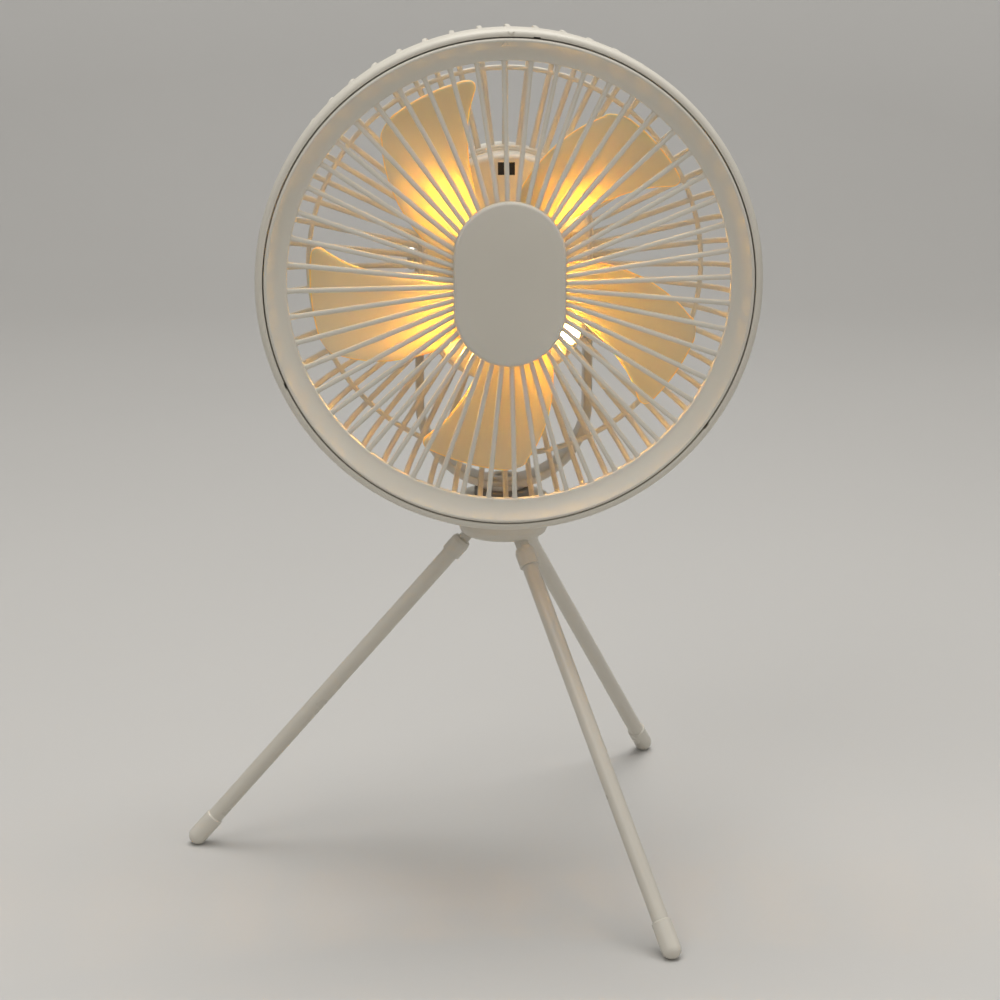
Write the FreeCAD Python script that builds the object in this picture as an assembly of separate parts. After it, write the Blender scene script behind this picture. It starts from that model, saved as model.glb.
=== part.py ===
import FreeCAD
import Part

import math
import os

# Portable camping fan on a folding tripod
#
# Lengths are in millimetres and angles in degrees. +Z is up and the fan faces -Y.
# The origin is the middle of the object's footprint, on the floor.
# The head is drawn about its tilt pivot: X across, Z up, and "depth" runs back
# along +Y from the plane of the front ring's inner edge.
# Angles around the head run clockwise from the top, as seen from the front.

# Height of the tilt pivot, its place behind the ring, and the tripod's turn on its screw
HEAD_Z = 268.0
PIVOT_DEPTH = 62.0
TRIPOD_TURN = -2.4

# Front grille
RING_INNER_R = 89.4
RING_OUTER_R = 98.5
RING_CREST_DEPTH = -4.8
SKIRT_DEPTH = 7.5
SKIRT_WALL = 1.8
SPOKES = 52
SPOKE_W = 2.0
SPOKE_THICK = 2.3
SPOKE_TURN = -1.45
SPOKE_DEPTH_AT_CAP = -2.2
SPOKE_DEPTH_AT_RING = 0.4
CAP_W = 45.2
CAP_H = 65.6
CAP_FRONT_DEPTH = -6.3
CAP_BACK_DEPTH = -2.35
CAP_WALL = 1.6
CAP_EDGE_R = 1.4
CAP_FRAME_WALL = 3.4

# Twist lock between the grille and the guard
LOCK_TURN = 7.3
LOCK_MARK_AT = -1.2
LOCK_TAB_W = 2.2
LOCK_TAB_OUT = 1.0
LOCK_TAB_DEPTH = 5.2
LOCK_GAP = 0.3
LOCKS = 3
MARK_W = 3.2
MARK_H = 1.9
MARK_RAISED = 0.22
MARK_SLOPE = 41.0

# Rear guard
RIM_OUTER_R = 102.2
RIM_BACK_R = 101.7
RIM_INNER_R = 99.0
RIM_STEP_R = 97.4
RIM_FRONT_DEPTH = -4.3
RIM_BACK_DEPTH = 10.4
RIBS = 56
RIB_W = 2.3
RIB_THICK = 2.2
HOOP_R = 82.0
HOOP_W = 2.0
HOOP_DEPTH = 43.0
BEND_R = 17.6
BEND_START_R = 100.3
BEND_START_DEPTH = 27.0
COLLAR_WALL = 2.1
COLLAR_FRONT_DEPTH = 42.0
COLLAR_BACK_DEPTH = 47.0

# Housing
FACE_DEPTH = 31.0
FACE_W = 69.2
FACE_H = 96.5
BODY_W = 65.2
BODY_H = 92.0
FLANGE_BACK_DEPTH = 48.6
BODY_BACK_DEPTH = 88.5
WALL = 2.2
FACE_EDGE_R = 2.2
BACK_EDGE_R = 5.0
CASE_SCREW_X = 9.0
CASE_SCREW_Z = 40.0
CASE_COLUMN_R = 4.0
CASE_POST_R = 3.0
CASE_THREAD_R = 1.25
CASE_HOLE_R = 1.6
CASE_SINK_R = 2.9
CASE_SINK_DEPTH = 7.0
BOSS_FACE_X = 25.4
IR_Z = 42.1
IR_W = 7.0
IR_H = 5.3
LED_X = 26.3
LED_Z = 27.0
LED_R = 3.4
SLOT_X = 26.5
SLOT_Z = 13.5
SLOT_W = 4.0
SLOT_H = 3.3

# Motor and rotor
SHAFT_R = 2.0
MOTOR_TUBE_R = 5.3
MOTOR_PLATE_R = 19.6
MOTOR_PLATE_THICK = 2.4
MOTOR_SCREW_RING_R = 15.0
MOTOR_SCREW_R = 1.1
MOTOR_SCREW_ANGLES = [30.0, 150.0, 270.0]
BEARING_R = 4.0
BEARING_W = 3.0
BEARING_FRONTS = [16.0, 31.6]
STATOR_R = 14.0
STATOR_FRONT_DEPTH = 17.4
STATOR_BACK_DEPTH = 27.4
STATOR_POLES = 9
BELL_R = 17.0
HUB_R = 21.0
HUB_FRONT_DEPTH = 7.5
HUB_BACK_DEPTH = 28.0
BLADES = 5
BLADE_TIP_R = 80.3
BLADE_THICK = 2.0
BLADE_TURN = 49.0
BLADE_FRONT_DEPTH = 8.6
BLADE_BACK_DEPTH = 26.0
BLADE_BOW = 1.6
BLADE_TIP_ANGLES = [-12.4, 11.4]

# Long edges of a blade: the angle from its tip's middle, at each radius
FRONT_EDGE = [(18.0, -51.0), (37.6, -40.5), (48.0, -33.5), (60.0, -26.6), (73.0, -19.7), (88.0, -12.5)]
BACK_EDGE = [(18.0, -8.0), (37.6, 2.6), (49.5, 5.0), (66.0, 9.5), (76.0, 13.4), (88.0, 17.0)]
BLADE_SECTIONS = [18.0, 30.0, 44.0, 58.0, 71.0, 88.0]

# Battery, board and buttons
CELL_R = 9.2
CELL_LENGTH = 65.2
CELL_X = 9.5
CELL_DEPTH = 67.0
BOARD_DEPTH = 79.6
BOARD_THICK = 1.6
BUTTON_TRAVEL = 0.8
BUTTON_GAP = 0.35
BUTTONS = {"power_button": (20.0, 7.0), "light_button": (2.0, 5.4), "timer_button": (-13.0, 5.4)}
BUTTON_PROUD = 1.5
BUTTON_EDGE = 0.6
SWITCH_HEIGHT = 1.5
INDICATOR_Z = 33.0
USB_Z = -29.0
USB_W = 8.94
USB_H = 3.26

# Bracket
YOKE_HALF_W = 37.8
YOKE_THICK = 3.7
YOKE_DEPTH = 15.0
YOKE_EDGE = 0.7
YOKE_TOP_OF_FOOT = 171.0
PIVOT_R = 2.5
PIVOT_HOLE_R = 2.57
THREAD_R = 3.15
THREAD_HOLE_R = 3.22
BUSH_R = 4.4
BUSH_COLLAR_R = 6.2
BUSH_SEAT_R = 9.5

# Tripod
HUB_PUCK_R = 19.5
PUCK_BOTTOM = 146.8
PUCK_TOP = 163.6
PUCK_EDGE = 3.2
RECESS_R = 17.4
RECESS_TOP = 154.4
PAD_R = 12.5
PAD_THICK = 3.6
CARRIER_THICK = 3.2
HINGE_R = 12.4
HINGE_Z = 149.3
LUG_HALF_W = 5.6
LUG_R = 3.0
STUD_HEAD_R = 6.0
STUD_HEAD_HEIGHT = 2.4
PIN_R = 1.25
PIN_HOLE_R = 1.32
EYE_R = 2.9
TONGUE_W = 4.0
TONGUE_HALF_DEPTH = 2.2
TONGUE_GAP = 0.2
TUBE_R = 3.5
FERRULE_R = 4.3
FERRULE_START = 7.2
FERRULE_LENGTH = 9.0
FOOT_R = 4.15
FOOT_LENGTH = 16.5
FOOT_CENTRE_R = 137.5
FOOT_CENTRE_Z = 4.0
LEGS = {"left": 180.0, "front": 300.0, "back": 60.0}

ORIGIN = FreeCAD.Vector(0, 0, 0)
X_AXIS = FreeCAD.Vector(1, 0, 0)
Y_AXIS = FreeCAD.Vector(0, 1, 0)
Z_AXIS = FreeCAD.Vector(0, 0, 1)


# Basic shapes

def depth(value):
    """Height along Y, from the pivot, of a depth behind the ring's inner edge."""
    return value - PIVOT_DEPTH


def box(x, y, z):
    """A box given by its low and high limits on each axis."""
    corner = FreeCAD.Vector(x[0], y[0], z[0])
    return Part.makeBox(x[1] - x[0], y[1] - y[0], z[1] - z[0], corner)


def disc(radius, front, back, x=0.0, z=0.0):
    """A cylinder along the head's axis between two depths."""
    base = FreeCAD.Vector(x, depth(front), z)
    return Part.makeCylinder(radius, back - front, base, Y_AXIS)


def rod_x(radius, low, high, z=0.0):
    """A cylinder across the head, along X."""
    return Part.makeCylinder(radius, high - low, FreeCAD.Vector(low, 0, z), X_AXIS)


def rod_z(radius, low, high):
    """An upright cylinder."""
    return Part.makeCylinder(radius, high - low, FreeCAD.Vector(0, 0, low), Z_AXIS)


def face_of(points):
    """A flat face inside a closed outline. A pair in it is the middle and the end of an arc."""
    edges = []
    last = points[0]
    for item in points[1:] + [points[0]]:
        if isinstance(item, tuple):
            edges.append(Part.Arc(last, item[0], item[1]).toShape())
            last = item[1]
        elif (item - last).Length > 1e-6:
            edges.append(Part.makeLine(last, item))
            last = item
    return Part.Face(Part.Wire(edges))


def turned(profile):
    """A body turned about the head's axis from (radius, depth) corners. Four numbers are an arc."""
    points = []
    for item in profile:
        if len(item) == 4:
            middle = FreeCAD.Vector(item[0], depth(item[1]), 0)
            end = FreeCAD.Vector(item[2], depth(item[3]), 0)
            points.append((middle, end))
        else:
            points.append(FreeCAD.Vector(item[0], depth(item[1]), 0))
    return face_of(points).revolve(ORIGIN, Y_AXIS, 360)


def turned_upright(profile):
    """A body turned about the upright axis from (radius, height) corners. Four numbers are an arc."""
    points = []
    for item in profile:
        if len(item) == 4:
            middle = FreeCAD.Vector(item[0], 0, item[1])
            points.append((middle, FreeCAD.Vector(item[2], 0, item[3])))
        else:
            points.append(FreeCAD.Vector(item[0], 0, item[1]))
    return face_of(points).revolve(ORIGIN, Z_AXIS, 360)


def racetrack_wire(width, height, at):
    """An outline with straight sides and half-round top and bottom, at a depth."""
    r = width / 2.0
    z = height / 2.0 - r
    y = depth(at)
    top = Part.Arc(FreeCAD.Vector(-r, y, z), FreeCAD.Vector(0, y, z + r), FreeCAD.Vector(r, y, z))
    low = Part.Arc(FreeCAD.Vector(r, y, -z), FreeCAD.Vector(0, y, -z - r), FreeCAD.Vector(-r, y, -z))
    right = Part.makeLine(FreeCAD.Vector(r, y, z), FreeCAD.Vector(r, y, -z))
    left = Part.makeLine(FreeCAD.Vector(-r, y, -z), FreeCAD.Vector(-r, y, z))
    return Part.Wire([top.toShape(), right, low.toShape(), left])


def racetrack(width, height, front, back, grow=0.0):
    """A racetrack block between two depths, grown all round by a margin."""
    wire = racetrack_wire(width + 2 * grow, height + 2 * grow, front)
    return Part.Face(wire).extrude(FreeCAD.Vector(0, back - front, 0))


def racetrack_reach(width, height, angle):
    """Distance from the middle of a racetrack to its outline at an angle."""
    r = width / 2.0
    c = height / 2.0 - r
    s = abs(math.sin(math.radians(angle)))
    k = abs(math.cos(math.radians(angle)))
    if s > 1e-9 and r / s * k <= c:
        return r / s
    return k * c + math.sqrt(r * r - (s * c) ** 2)


def edges_at_depth(shape, value):
    """The edges of a shape that lie in the plane of one depth."""
    y = depth(value)
    found = []
    for edge in shape.Edges:
        bounds = edge.BoundBox
        if abs(bounds.YMin - y) < 1e-4 and abs(bounds.YMax - y) < 1e-4:
            found.append(edge)
    return found


def turn(shape, angle):
    """A copy of a shape turned clockwise about the head's axis."""
    copy = shape.copy()
    copy.rotate(ORIGIN, Y_AXIS, angle)
    return copy


def sector(inner, outer, front, back, middle, half_angle):
    """A block of a ring around the head's axis, in a span of angles."""
    points = []
    for a in (middle - half_angle, middle, middle + half_angle):
        t = math.radians(a)
        points.append(FreeCAD.Vector(math.sin(t), depth(front), math.cos(t)))

    def at(direction, radius):
        return FreeCAD.Vector(direction.x * radius, direction.y, direction.z * radius)

    outline = [at(points[0], outer), (at(points[1], outer), at(points[2], outer))]
    outline += [at(points[2], inner), (at(points[1], inner), at(points[0], inner))]
    return face_of(outline).extrude(FreeCAD.Vector(0, back - front, 0))


def fused(first, others):
    """One solid from touching pieces, with the seams between them removed."""
    return first.multiFuse(others).removeSplitter()


# Front grille and its cap

def grille_ring():
    """Outer ring with a hollowed slope, a crest at the parting line and a skirt."""
    inside = RING_OUTER_R - SKIRT_WALL
    crest = RING_CREST_DEPTH
    profile = [
        (RING_INNER_R, 0.7),
        (RING_INNER_R + 0.25, 0.15, RING_INNER_R + 0.8, -0.1),
        (RING_INNER_R + 4.5, -1.85, RING_OUTER_R - 1.5, crest + 0.25),
        (RING_OUTER_R - 1.1, crest, RING_OUTER_R - 0.5, crest + 0.15),
        (RING_OUTER_R, crest + 0.8),
        (RING_OUTER_R, SKIRT_DEPTH),
        (inside, SKIRT_DEPTH),
        (inside, -0.4),
        (RING_INNER_R + 3.8, 2.1),
        (RING_INNER_R, 2.9),
    ]
    return turned(profile)


def spoke(angle):
    """One bar from under the cap to the ring, round in front and flat behind."""
    start_r = racetrack_reach(CAP_W - 5.0, CAP_H - 5.0, angle)
    run = RING_INNER_R + 1.6 - start_r
    lean = math.atan2(SPOKE_DEPTH_AT_RING - SPOKE_DEPTH_AT_CAP, RING_INNER_R - CAP_W / 2.0)
    half = SPOKE_W / 2.0
    crown = half * 0.6
    points = [
        FreeCAD.Vector(-half, crown, 0),
        (FreeCAD.Vector(0, 0, 0), FreeCAD.Vector(half, crown, 0)),
        FreeCAD.Vector(half, SPOKE_THICK, 0),
        FreeCAD.Vector(-half, SPOKE_THICK, 0),
    ]
    bar = face_of(points).extrude(FreeCAD.Vector(0, 0, run / math.cos(lean)))
    bar.rotate(ORIGIN, X_AXIS, -math.degrees(lean))
    start_depth = SPOKE_DEPTH_AT_RING - (RING_INNER_R - start_r) * math.tan(lean)
    bar.translate(FreeCAD.Vector(0, depth(start_depth), start_r))
    return turn(bar, angle)


def front_grille():
    parts = []
    for i in range(SPOKES):
        parts.append(spoke(SPOKE_TURN + i * 360.0 / SPOKES))
    frame_out = -CAP_WALL - 0.15
    frame = racetrack(CAP_W, CAP_H, CAP_FRONT_DEPTH + 1.9, 0.9, frame_out)
    frame = frame.cut(racetrack(CAP_W, CAP_H, -3.0, 1.0, frame_out - CAP_FRAME_WALL))
    parts.append(frame)
    for i in range(LOCKS):
        at = LOCK_MARK_AT + i * 360.0 / LOCKS
        half = math.degrees(LOCK_TAB_W / 2.0 / RING_OUTER_R)
        out = RING_OUTER_R + LOCK_TAB_OUT
        parts.append(sector(RING_OUTER_R - 0.6, out, LOCK_TAB_DEPTH, SKIRT_DEPTH, at, half))
    parts.append(turn(ring_mark(), LOCK_MARK_AT))
    return fused(grille_ring(), parts)


def ring_mark():
    """Raised triangle on the ring's slope, pointing out to the parting line."""
    low_r = RING_OUTER_R - 3.2
    points = [
        FreeCAD.Vector(-MARK_W / 2.0, 0, 0),
        FreeCAD.Vector(0, 0, MARK_H + 0.3),
        FreeCAD.Vector(MARK_W / 2.0, 0, 0),
    ]
    mark = face_of(points).extrude(FreeCAD.Vector(0, 1.0, 0))
    mark.rotate(ORIGIN, X_AXIS, MARK_SLOPE)
    mark.translate(FreeCAD.Vector(0, depth(-3.0 - MARK_RAISED), low_r))
    return mark


def rim_mark():
    """Cutter for the small engraved V on the rim's round, pointing in to the ring."""
    arm = MARK_W / 2.0 * 0.72
    points = [
        FreeCAD.Vector(-arm, 0, 1.7),
        FreeCAD.Vector(0, 0, 0),
        FreeCAD.Vector(arm, 0, 1.7),
        FreeCAD.Vector(arm - 0.55, 0, 1.7),
        FreeCAD.Vector(0, 0, 0.75),
        FreeCAD.Vector(-arm + 0.55, 0, 1.7),
    ]
    mark = face_of(points).extrude(FreeCAD.Vector(0, 2.0, 0))
    mark.translate(FreeCAD.Vector(0, -1.7, 0))
    mark.rotate(ORIGIN, X_AXIS, -38.0)
    mark.translate(FreeCAD.Vector(0, depth(RIM_FRONT_DEPTH + 0.15), RIM_INNER_R + 1.1))
    return mark


def grille_cap():
    outside = racetrack(CAP_W, CAP_H, CAP_FRONT_DEPTH, CAP_BACK_DEPTH)
    outside = outside.makeFillet(CAP_EDGE_R, edges_at_depth(outside, CAP_FRONT_DEPTH))
    front = CAP_FRONT_DEPTH + 1.8
    return outside.cut(racetrack(CAP_W, CAP_H, front, CAP_BACK_DEPTH + 1, -CAP_WALL))


# Rear guard

def guard_rim():
    profile = [
        (RIM_INNER_R, RIM_FRONT_DEPTH + 0.4),
        (RIM_INNER_R + 0.4, RIM_FRONT_DEPTH),
        (RIM_INNER_R + 0.9, RIM_FRONT_DEPTH),
        (RIM_INNER_R + 2.3, RIM_FRONT_DEPTH + 1.0, RIM_OUTER_R, RIM_FRONT_DEPTH + 3.6),
        (RIM_BACK_R, RIM_BACK_DEPTH - 0.8),
        (RIM_BACK_R - 0.8, RIM_BACK_DEPTH),
        (RIM_STEP_R, RIM_BACK_DEPTH),
        (RIM_STEP_R, SKIRT_DEPTH + 0.8),
        (RIM_INNER_R, SKIRT_DEPTH + 0.8),
    ]
    rim = turned(profile)
    cuts = []
    for i in range(LOCKS):
        at = LOCK_MARK_AT + i * 360.0 / LOCKS
        half = math.degrees((LOCK_TAB_W / 2.0 + LOCK_GAP) / RING_OUTER_R)
        deep = RING_OUTER_R + LOCK_TAB_OUT + LOCK_GAP
        middle = at + LOCK_TURN / 2.0
        span = LOCK_TURN / 2.0 + half
        front = LOCK_TAB_DEPTH - LOCK_GAP
        inner = RIM_INNER_R - 0.5
        cuts.append(sector(inner, deep, front, SKIRT_DEPTH + LOCK_GAP, middle, span))
        cuts.append(sector(inner, deep, RIM_FRONT_DEPTH - 1, front + 0.2, at + LOCK_TURN, half))
    cuts.append(rim_mark())
    for piece in cuts:
        rim = rim.cut(piece)
    return rim


def rib(angle):
    """One bowl-shaped rib: nearly straight behind the rim, bent in to the hoop and the collar."""
    end_r = racetrack_reach(FACE_W + 2.0, FACE_H + 2.0, angle)
    x = -RIB_W / 2.0
    centre_r = BEND_START_R - BEND_R
    back = BEND_START_DEPTH + BEND_R
    slant = math.sqrt(0.5)

    def at(radius, value):
        return FreeCAD.Vector(x, depth(value), radius)

    def on_bend(bend_r):
        return at(centre_r + slant * bend_r, BEND_START_DEPTH + slant * bend_r)

    inner_bend = BEND_R - RIB_THICK
    points = [
        at(RIM_BACK_R, RIM_BACK_DEPTH - 1.0),
        at(BEND_START_R, BEND_START_DEPTH),
        (on_bend(BEND_R), at(centre_r, back)),
        at(end_r, COLLAR_BACK_DEPTH - 1.4),
        at(end_r, COLLAR_BACK_DEPTH - 1.4 - RIB_THICK),
        at(centre_r, back - RIB_THICK),
        (on_bend(inner_bend), at(BEND_START_R - RIB_THICK, BEND_START_DEPTH)),
        at(RIM_BACK_R - RIB_THICK, RIM_BACK_DEPTH - 1.0),
    ]
    return turn(face_of(points).extrude(FreeCAD.Vector(RIB_W, 0, 0)), angle)


def rear_guard():
    parts = []
    for i in range(RIBS):
        parts.append(rib(i * 360.0 / RIBS))
    back = HOOP_DEPTH + 1.8
    hoop = disc(HOOP_R + HOOP_W / 2, HOOP_DEPTH - 0.6, back)
    parts.append(hoop.cut(disc(HOOP_R - HOOP_W / 2, HOOP_DEPTH - 2, back + 1)))
    collar = racetrack(FACE_W, FACE_H, COLLAR_FRONT_DEPTH, COLLAR_BACK_DEPTH, COLLAR_WALL)
    hole = racetrack(FACE_W, FACE_H, COLLAR_FRONT_DEPTH - 1, COLLAR_BACK_DEPTH + 1)
    parts.append(collar.cut(hole))
    return fused(guard_rim(), parts)


# Housing

def case_screw_places():
    places = []
    for x in (-CASE_SCREW_X, CASE_SCREW_X):
        for z in (-CASE_SCREW_Z, CASE_SCREW_Z):
            places.append((x, z))
    return places


def led_places():
    places = []
    for x in (-LED_X, LED_X):
        for z in (-LED_Z, LED_Z):
            places.append((x, z))
    return places


def motor_screw_places():
    places = []
    for a in MOTOR_SCREW_ANGLES:
        t = math.radians(a)
        places.append((MOTOR_SCREW_RING_R * math.sin(t), MOTOR_SCREW_RING_R * math.cos(t)))
    return places


def housing_front():
    back = COLLAR_BACK_DEPTH
    outside = racetrack(FACE_W, FACE_H, FACE_DEPTH, back)
    outside = outside.makeFillet(FACE_EDGE_R, edges_at_depth(outside, FACE_DEPTH))
    bead = racetrack(FACE_W, FACE_H, COLLAR_FRONT_DEPTH - 1.4, COLLAR_FRONT_DEPTH, 0.8)
    shell = outside.fuse(bead)
    shell = shell.cut(racetrack(FACE_W, FACE_H, FACE_DEPTH + WALL, back + 1, -WALL))
    for x, z in case_screw_places():
        shell = shell.fuse(disc(CASE_POST_R, FACE_DEPTH + WALL - 0.5, back - 1.5, x, z))
        shell = shell.cut(disc(CASE_THREAD_R, FACE_DEPTH + WALL + 1.5, back, x, z))
    shell = shell.cut(disc(6.2, FACE_DEPTH - 1, FACE_DEPTH + WALL + 1))
    for x, z in motor_screw_places():
        shell = shell.cut(disc(MOTOR_SCREW_R, FACE_DEPTH + 0.8, FACE_DEPTH + WALL + 1, x, z))
    for x, z in led_places():
        shell = shell.cut(disc(LED_R, FACE_DEPTH - 1, FACE_DEPTH + WALL + 1, x, z))
        cone_base = FreeCAD.Vector(x, depth(FACE_DEPTH) - 0.01, z)
        shell = shell.cut(Part.makeCone(LED_R + 1.2, LED_R, 1.2, cone_base, Y_AXIS))
    span = (depth(FACE_DEPTH - 1), depth(FACE_DEPTH + WALL + 1))
    half = (IR_W / 2, IR_H / 2)
    shell = shell.cut(box((-half[0], half[0]), span, (IR_Z - half[1], IR_Z + half[1])))
    half = (SLOT_W / 2, SLOT_H / 2)
    x = (SLOT_X - half[0], SLOT_X + half[0])
    return shell.cut(box(x, span, (SLOT_Z - half[1], SLOT_Z + half[1])))


def ir_window():
    y = (depth(FACE_DEPTH + 0.25), depth(FACE_DEPTH + WALL))
    half = (IR_W / 2, IR_H / 2)
    return box((-half[0], half[0]), y, (IR_Z - half[1], IR_Z + half[1]))


def led_lenses():
    lenses = []
    for x, z in led_places():
        body = disc(LED_R, FACE_DEPTH + 0.9, FACE_DEPTH + 2.8, x, z)
        centre = FreeCAD.Vector(x, depth(FACE_DEPTH) + 2.0, z)
        dome = Part.makeSphere(LED_R * 1.02, centre)
        keep = disc(LED_R, FACE_DEPTH - 1.4, FACE_DEPTH + 1.4, x, z)
        lenses.append(body.fuse(dome.common(keep)).removeSplitter())
    return Part.makeCompound(lenses)


def led_board():
    front = FACE_DEPTH + 2.8
    board = racetrack(FACE_W, FACE_H, front, front + 1.2, -WALL - 0.8)
    board = board.cut(disc(21.0, front - 1, front + 3))
    for x, z in case_screw_places():
        board = board.cut(disc(3.3, front - 1, front + 3, x, z))
    return board


def housing_rear():
    flange = racetrack(FACE_W, FACE_H, COLLAR_BACK_DEPTH, FLANGE_BACK_DEPTH, COLLAR_WALL)
    body = racetrack(BODY_W, BODY_H, COLLAR_BACK_DEPTH, BODY_BACK_DEPTH)
    body = body.makeFillet(BACK_EDGE_R, edges_at_depth(body, BODY_BACK_DEPTH))
    shell = flange.fuse(body)
    front = COLLAR_BACK_DEPTH - 1
    inside = racetrack(BODY_W, BODY_H, front, BODY_BACK_DEPTH - WALL, -WALL)
    inside = inside.makeFillet(BACK_EDGE_R - WALL, edges_at_depth(inside, BODY_BACK_DEPTH - WALL))
    shell = shell.cut(inside)
    for x, z in case_screw_places():
        column = disc(CASE_COLUMN_R, COLLAR_BACK_DEPTH, BODY_BACK_DEPTH - 1.0, x, z)
        shell = shell.fuse(column)
    for side in (-1, 1):
        low = min(side * BOSS_FACE_X, side * (BODY_W / 2 - 1.0))
        high = max(side * BOSS_FACE_X, side * (BODY_W / 2 - 1.0))
        shell = shell.fuse(rod_x(6.2, low, high))
        low = min(side * 20.0, side * (BODY_W / 2 + 1.0))
        high = max(side * 20.0, side * (BODY_W / 2 + 1.0))
        shell = shell.cut(rod_x(3.8, low, high))
    for x, z in case_screw_places():
        hole = disc(CASE_HOLE_R, COLLAR_BACK_DEPTH - 1, BODY_BACK_DEPTH + 1, x, z)
        sink_front = BODY_BACK_DEPTH - CASE_SINK_DEPTH
        sink = disc(CASE_SINK_R, sink_front, BODY_BACK_DEPTH + 1, x, z)
        shell = shell.cut(hole).cut(sink)
    for z, radius in BUTTONS.values():
        hole = disc(radius + BUTTON_GAP, BODY_BACK_DEPTH - 4, BODY_BACK_DEPTH + 1, 0, z)
        shell = shell.cut(hole)
    y = (depth(BODY_BACK_DEPTH - 4), depth(BODY_BACK_DEPTH + 1))
    shell = shell.cut(box((-9.0, 9.0), y, (INDICATOR_Z - 1.6, INDICATOR_Z + 1.6)))
    return shell.cut(usb_block(BODY_BACK_DEPTH - 4, BODY_BACK_DEPTH + 1, 0.0))


def usb_block(front, back, grow):
    """A flat block with half-round ends, the outline of the charging inlet."""
    block = racetrack(USB_H, USB_W, front, back, grow)
    block.rotate(ORIGIN, Y_AXIS, 90)
    block.translate(FreeCAD.Vector(0, 0, USB_Z))
    return block


def usb_c_inlet():
    front = BOARD_DEPTH + BOARD_THICK
    shell = usb_block(front, BODY_BACK_DEPTH - 0.4, 0.0)
    return shell.cut(usb_block(front + 0.8, BODY_BACK_DEPTH, -0.32))


def usb_c_tongue():
    y = (depth(BOARD_DEPTH + BOARD_THICK + 0.8), depth(BODY_BACK_DEPTH - 1.4))
    return box((-3.34, 3.34), y, (USB_Z - 0.35, USB_Z + 0.35))


def indicator_window():
    y = (depth(BODY_BACK_DEPTH - 2.6), depth(BODY_BACK_DEPTH - 0.2))
    return box((-9.0, 9.0), y, (INDICATOR_Z - 1.6, INDICATOR_Z + 1.6))


def button(name):
    z, radius = BUTTONS[name]
    back = BODY_BACK_DEPTH + BUTTON_PROUD
    cap = disc(radius, BODY_BACK_DEPTH - WALL - 0.5, back, 0, z)
    cap = cap.makeChamfer(BUTTON_EDGE, edges_at_depth(cap, back))
    flange = disc(radius + 1.3, BODY_BACK_DEPTH - WALL - 1.3, BODY_BACK_DEPTH - WALL - 0.3, 0, z)
    stem_front = BOARD_DEPTH + BOARD_THICK + SWITCH_HEIGHT + BUTTON_TRAVEL + 0.1
    stem = disc(1.5, stem_front, BODY_BACK_DEPTH - WALL - 1.0, 0, z)
    return fused(cap, [flange, stem])


def control_board():
    front = BOARD_DEPTH
    back = front + BOARD_THICK
    board = racetrack(BODY_W, BODY_H, front, back, -WALL)
    for x, z in case_screw_places():
        board = board.cut(disc(CASE_COLUMN_R, front - 1, back + 1, x, z))
    switches = []
    for z, radius in BUTTONS.values():
        y = (depth(back), depth(back + SWITCH_HEIGHT))
        switches.append(box((-2.6, 2.6), y, (z - 2.6, z + 2.6)))
    return fused(board, switches)


def battery_cells():
    cells = []
    for x in (-CELL_X, CELL_X):
        low = FreeCAD.Vector(x, depth(CELL_DEPTH), -CELL_LENGTH / 2)
        can = Part.makeCylinder(CELL_R, CELL_LENGTH - 1.4, low, Z_AXIS)
        tip = FreeCAD.Vector(x, depth(CELL_DEPTH), CELL_LENGTH / 2 - 1.4)
        cells.append(can.fuse(Part.makeCylinder(3.2, 1.4, tip, Z_AXIS)))
    return Part.makeCompound(cells)


def battery_holder():
    """Cradle of the two cells, with a bar across that rests on the pivot bosses."""
    y = (depth(CELL_DEPTH - 10.8), depth(CELL_DEPTH - 1.0))
    holder = box((-20.0, 20.0), y, (-34.0, 34.0))
    holder = holder.fuse(box((-BOSS_FACE_X, BOSS_FACE_X), y, (-5.0, 5.0)))
    for x in (-CELL_X, CELL_X):
        low = FreeCAD.Vector(x, depth(CELL_DEPTH), -CELL_LENGTH / 2 - 0.2)
        holder = holder.cut(Part.makeCylinder(CELL_R, CELL_LENGTH + 0.4, low, Z_AXIS))
    return holder.removeSplitter()


def case_screws():
    screws = []
    for x, z in case_screw_places():
        head_front = BODY_BACK_DEPTH - CASE_SINK_DEPTH
        head = disc(CASE_SINK_R - 0.2, head_front, head_front + 1.9, x, z)
        head = head.makeChamfer(0.6, edges_at_depth(head, head_front + 1.9))
        shank = disc(CASE_THREAD_R, FACE_DEPTH + WALL + 4.0, head_front + 0.5, x, z)
        y = (depth(head_front + 0.9), depth(head_front + 3.0))
        slot = box((x - 0.35, x + 0.35), y, (z - 1.7, z + 1.7))
        cross = box((x - 1.7, x + 1.7), y, (z - 0.35, z + 0.35))
        screws.append(fused(head, [shank]).cut(slot).cut(cross))
    return Part.makeCompound(screws)


# Motor and rotor

def motor_mount():
    back = FACE_DEPTH + WALL + MOTOR_PLATE_THICK
    plate = disc(MOTOR_PLATE_R, FACE_DEPTH + WALL, back)
    tube = disc(MOTOR_TUBE_R, BEARING_FRONTS[0] - 0.6, back)
    mount = fused(plate, [tube]).cut(disc(BEARING_R, 14.0, back - 1.0))
    mount = mount.cut(disc(2.6, 14.0, back + 1.0))
    for x, z in motor_screw_places():
        mount = mount.cut(disc(1.3, FACE_DEPTH, back + 1, x, z))
    return mount


def motor_bearings():
    rings = []
    for front in BEARING_FRONTS:
        ring = disc(BEARING_R, front, front + BEARING_W)
        rings.append(ring.cut(disc(SHAFT_R + 0.03, front - 1, front + 4)))
    return Part.makeCompound(rings)


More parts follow.
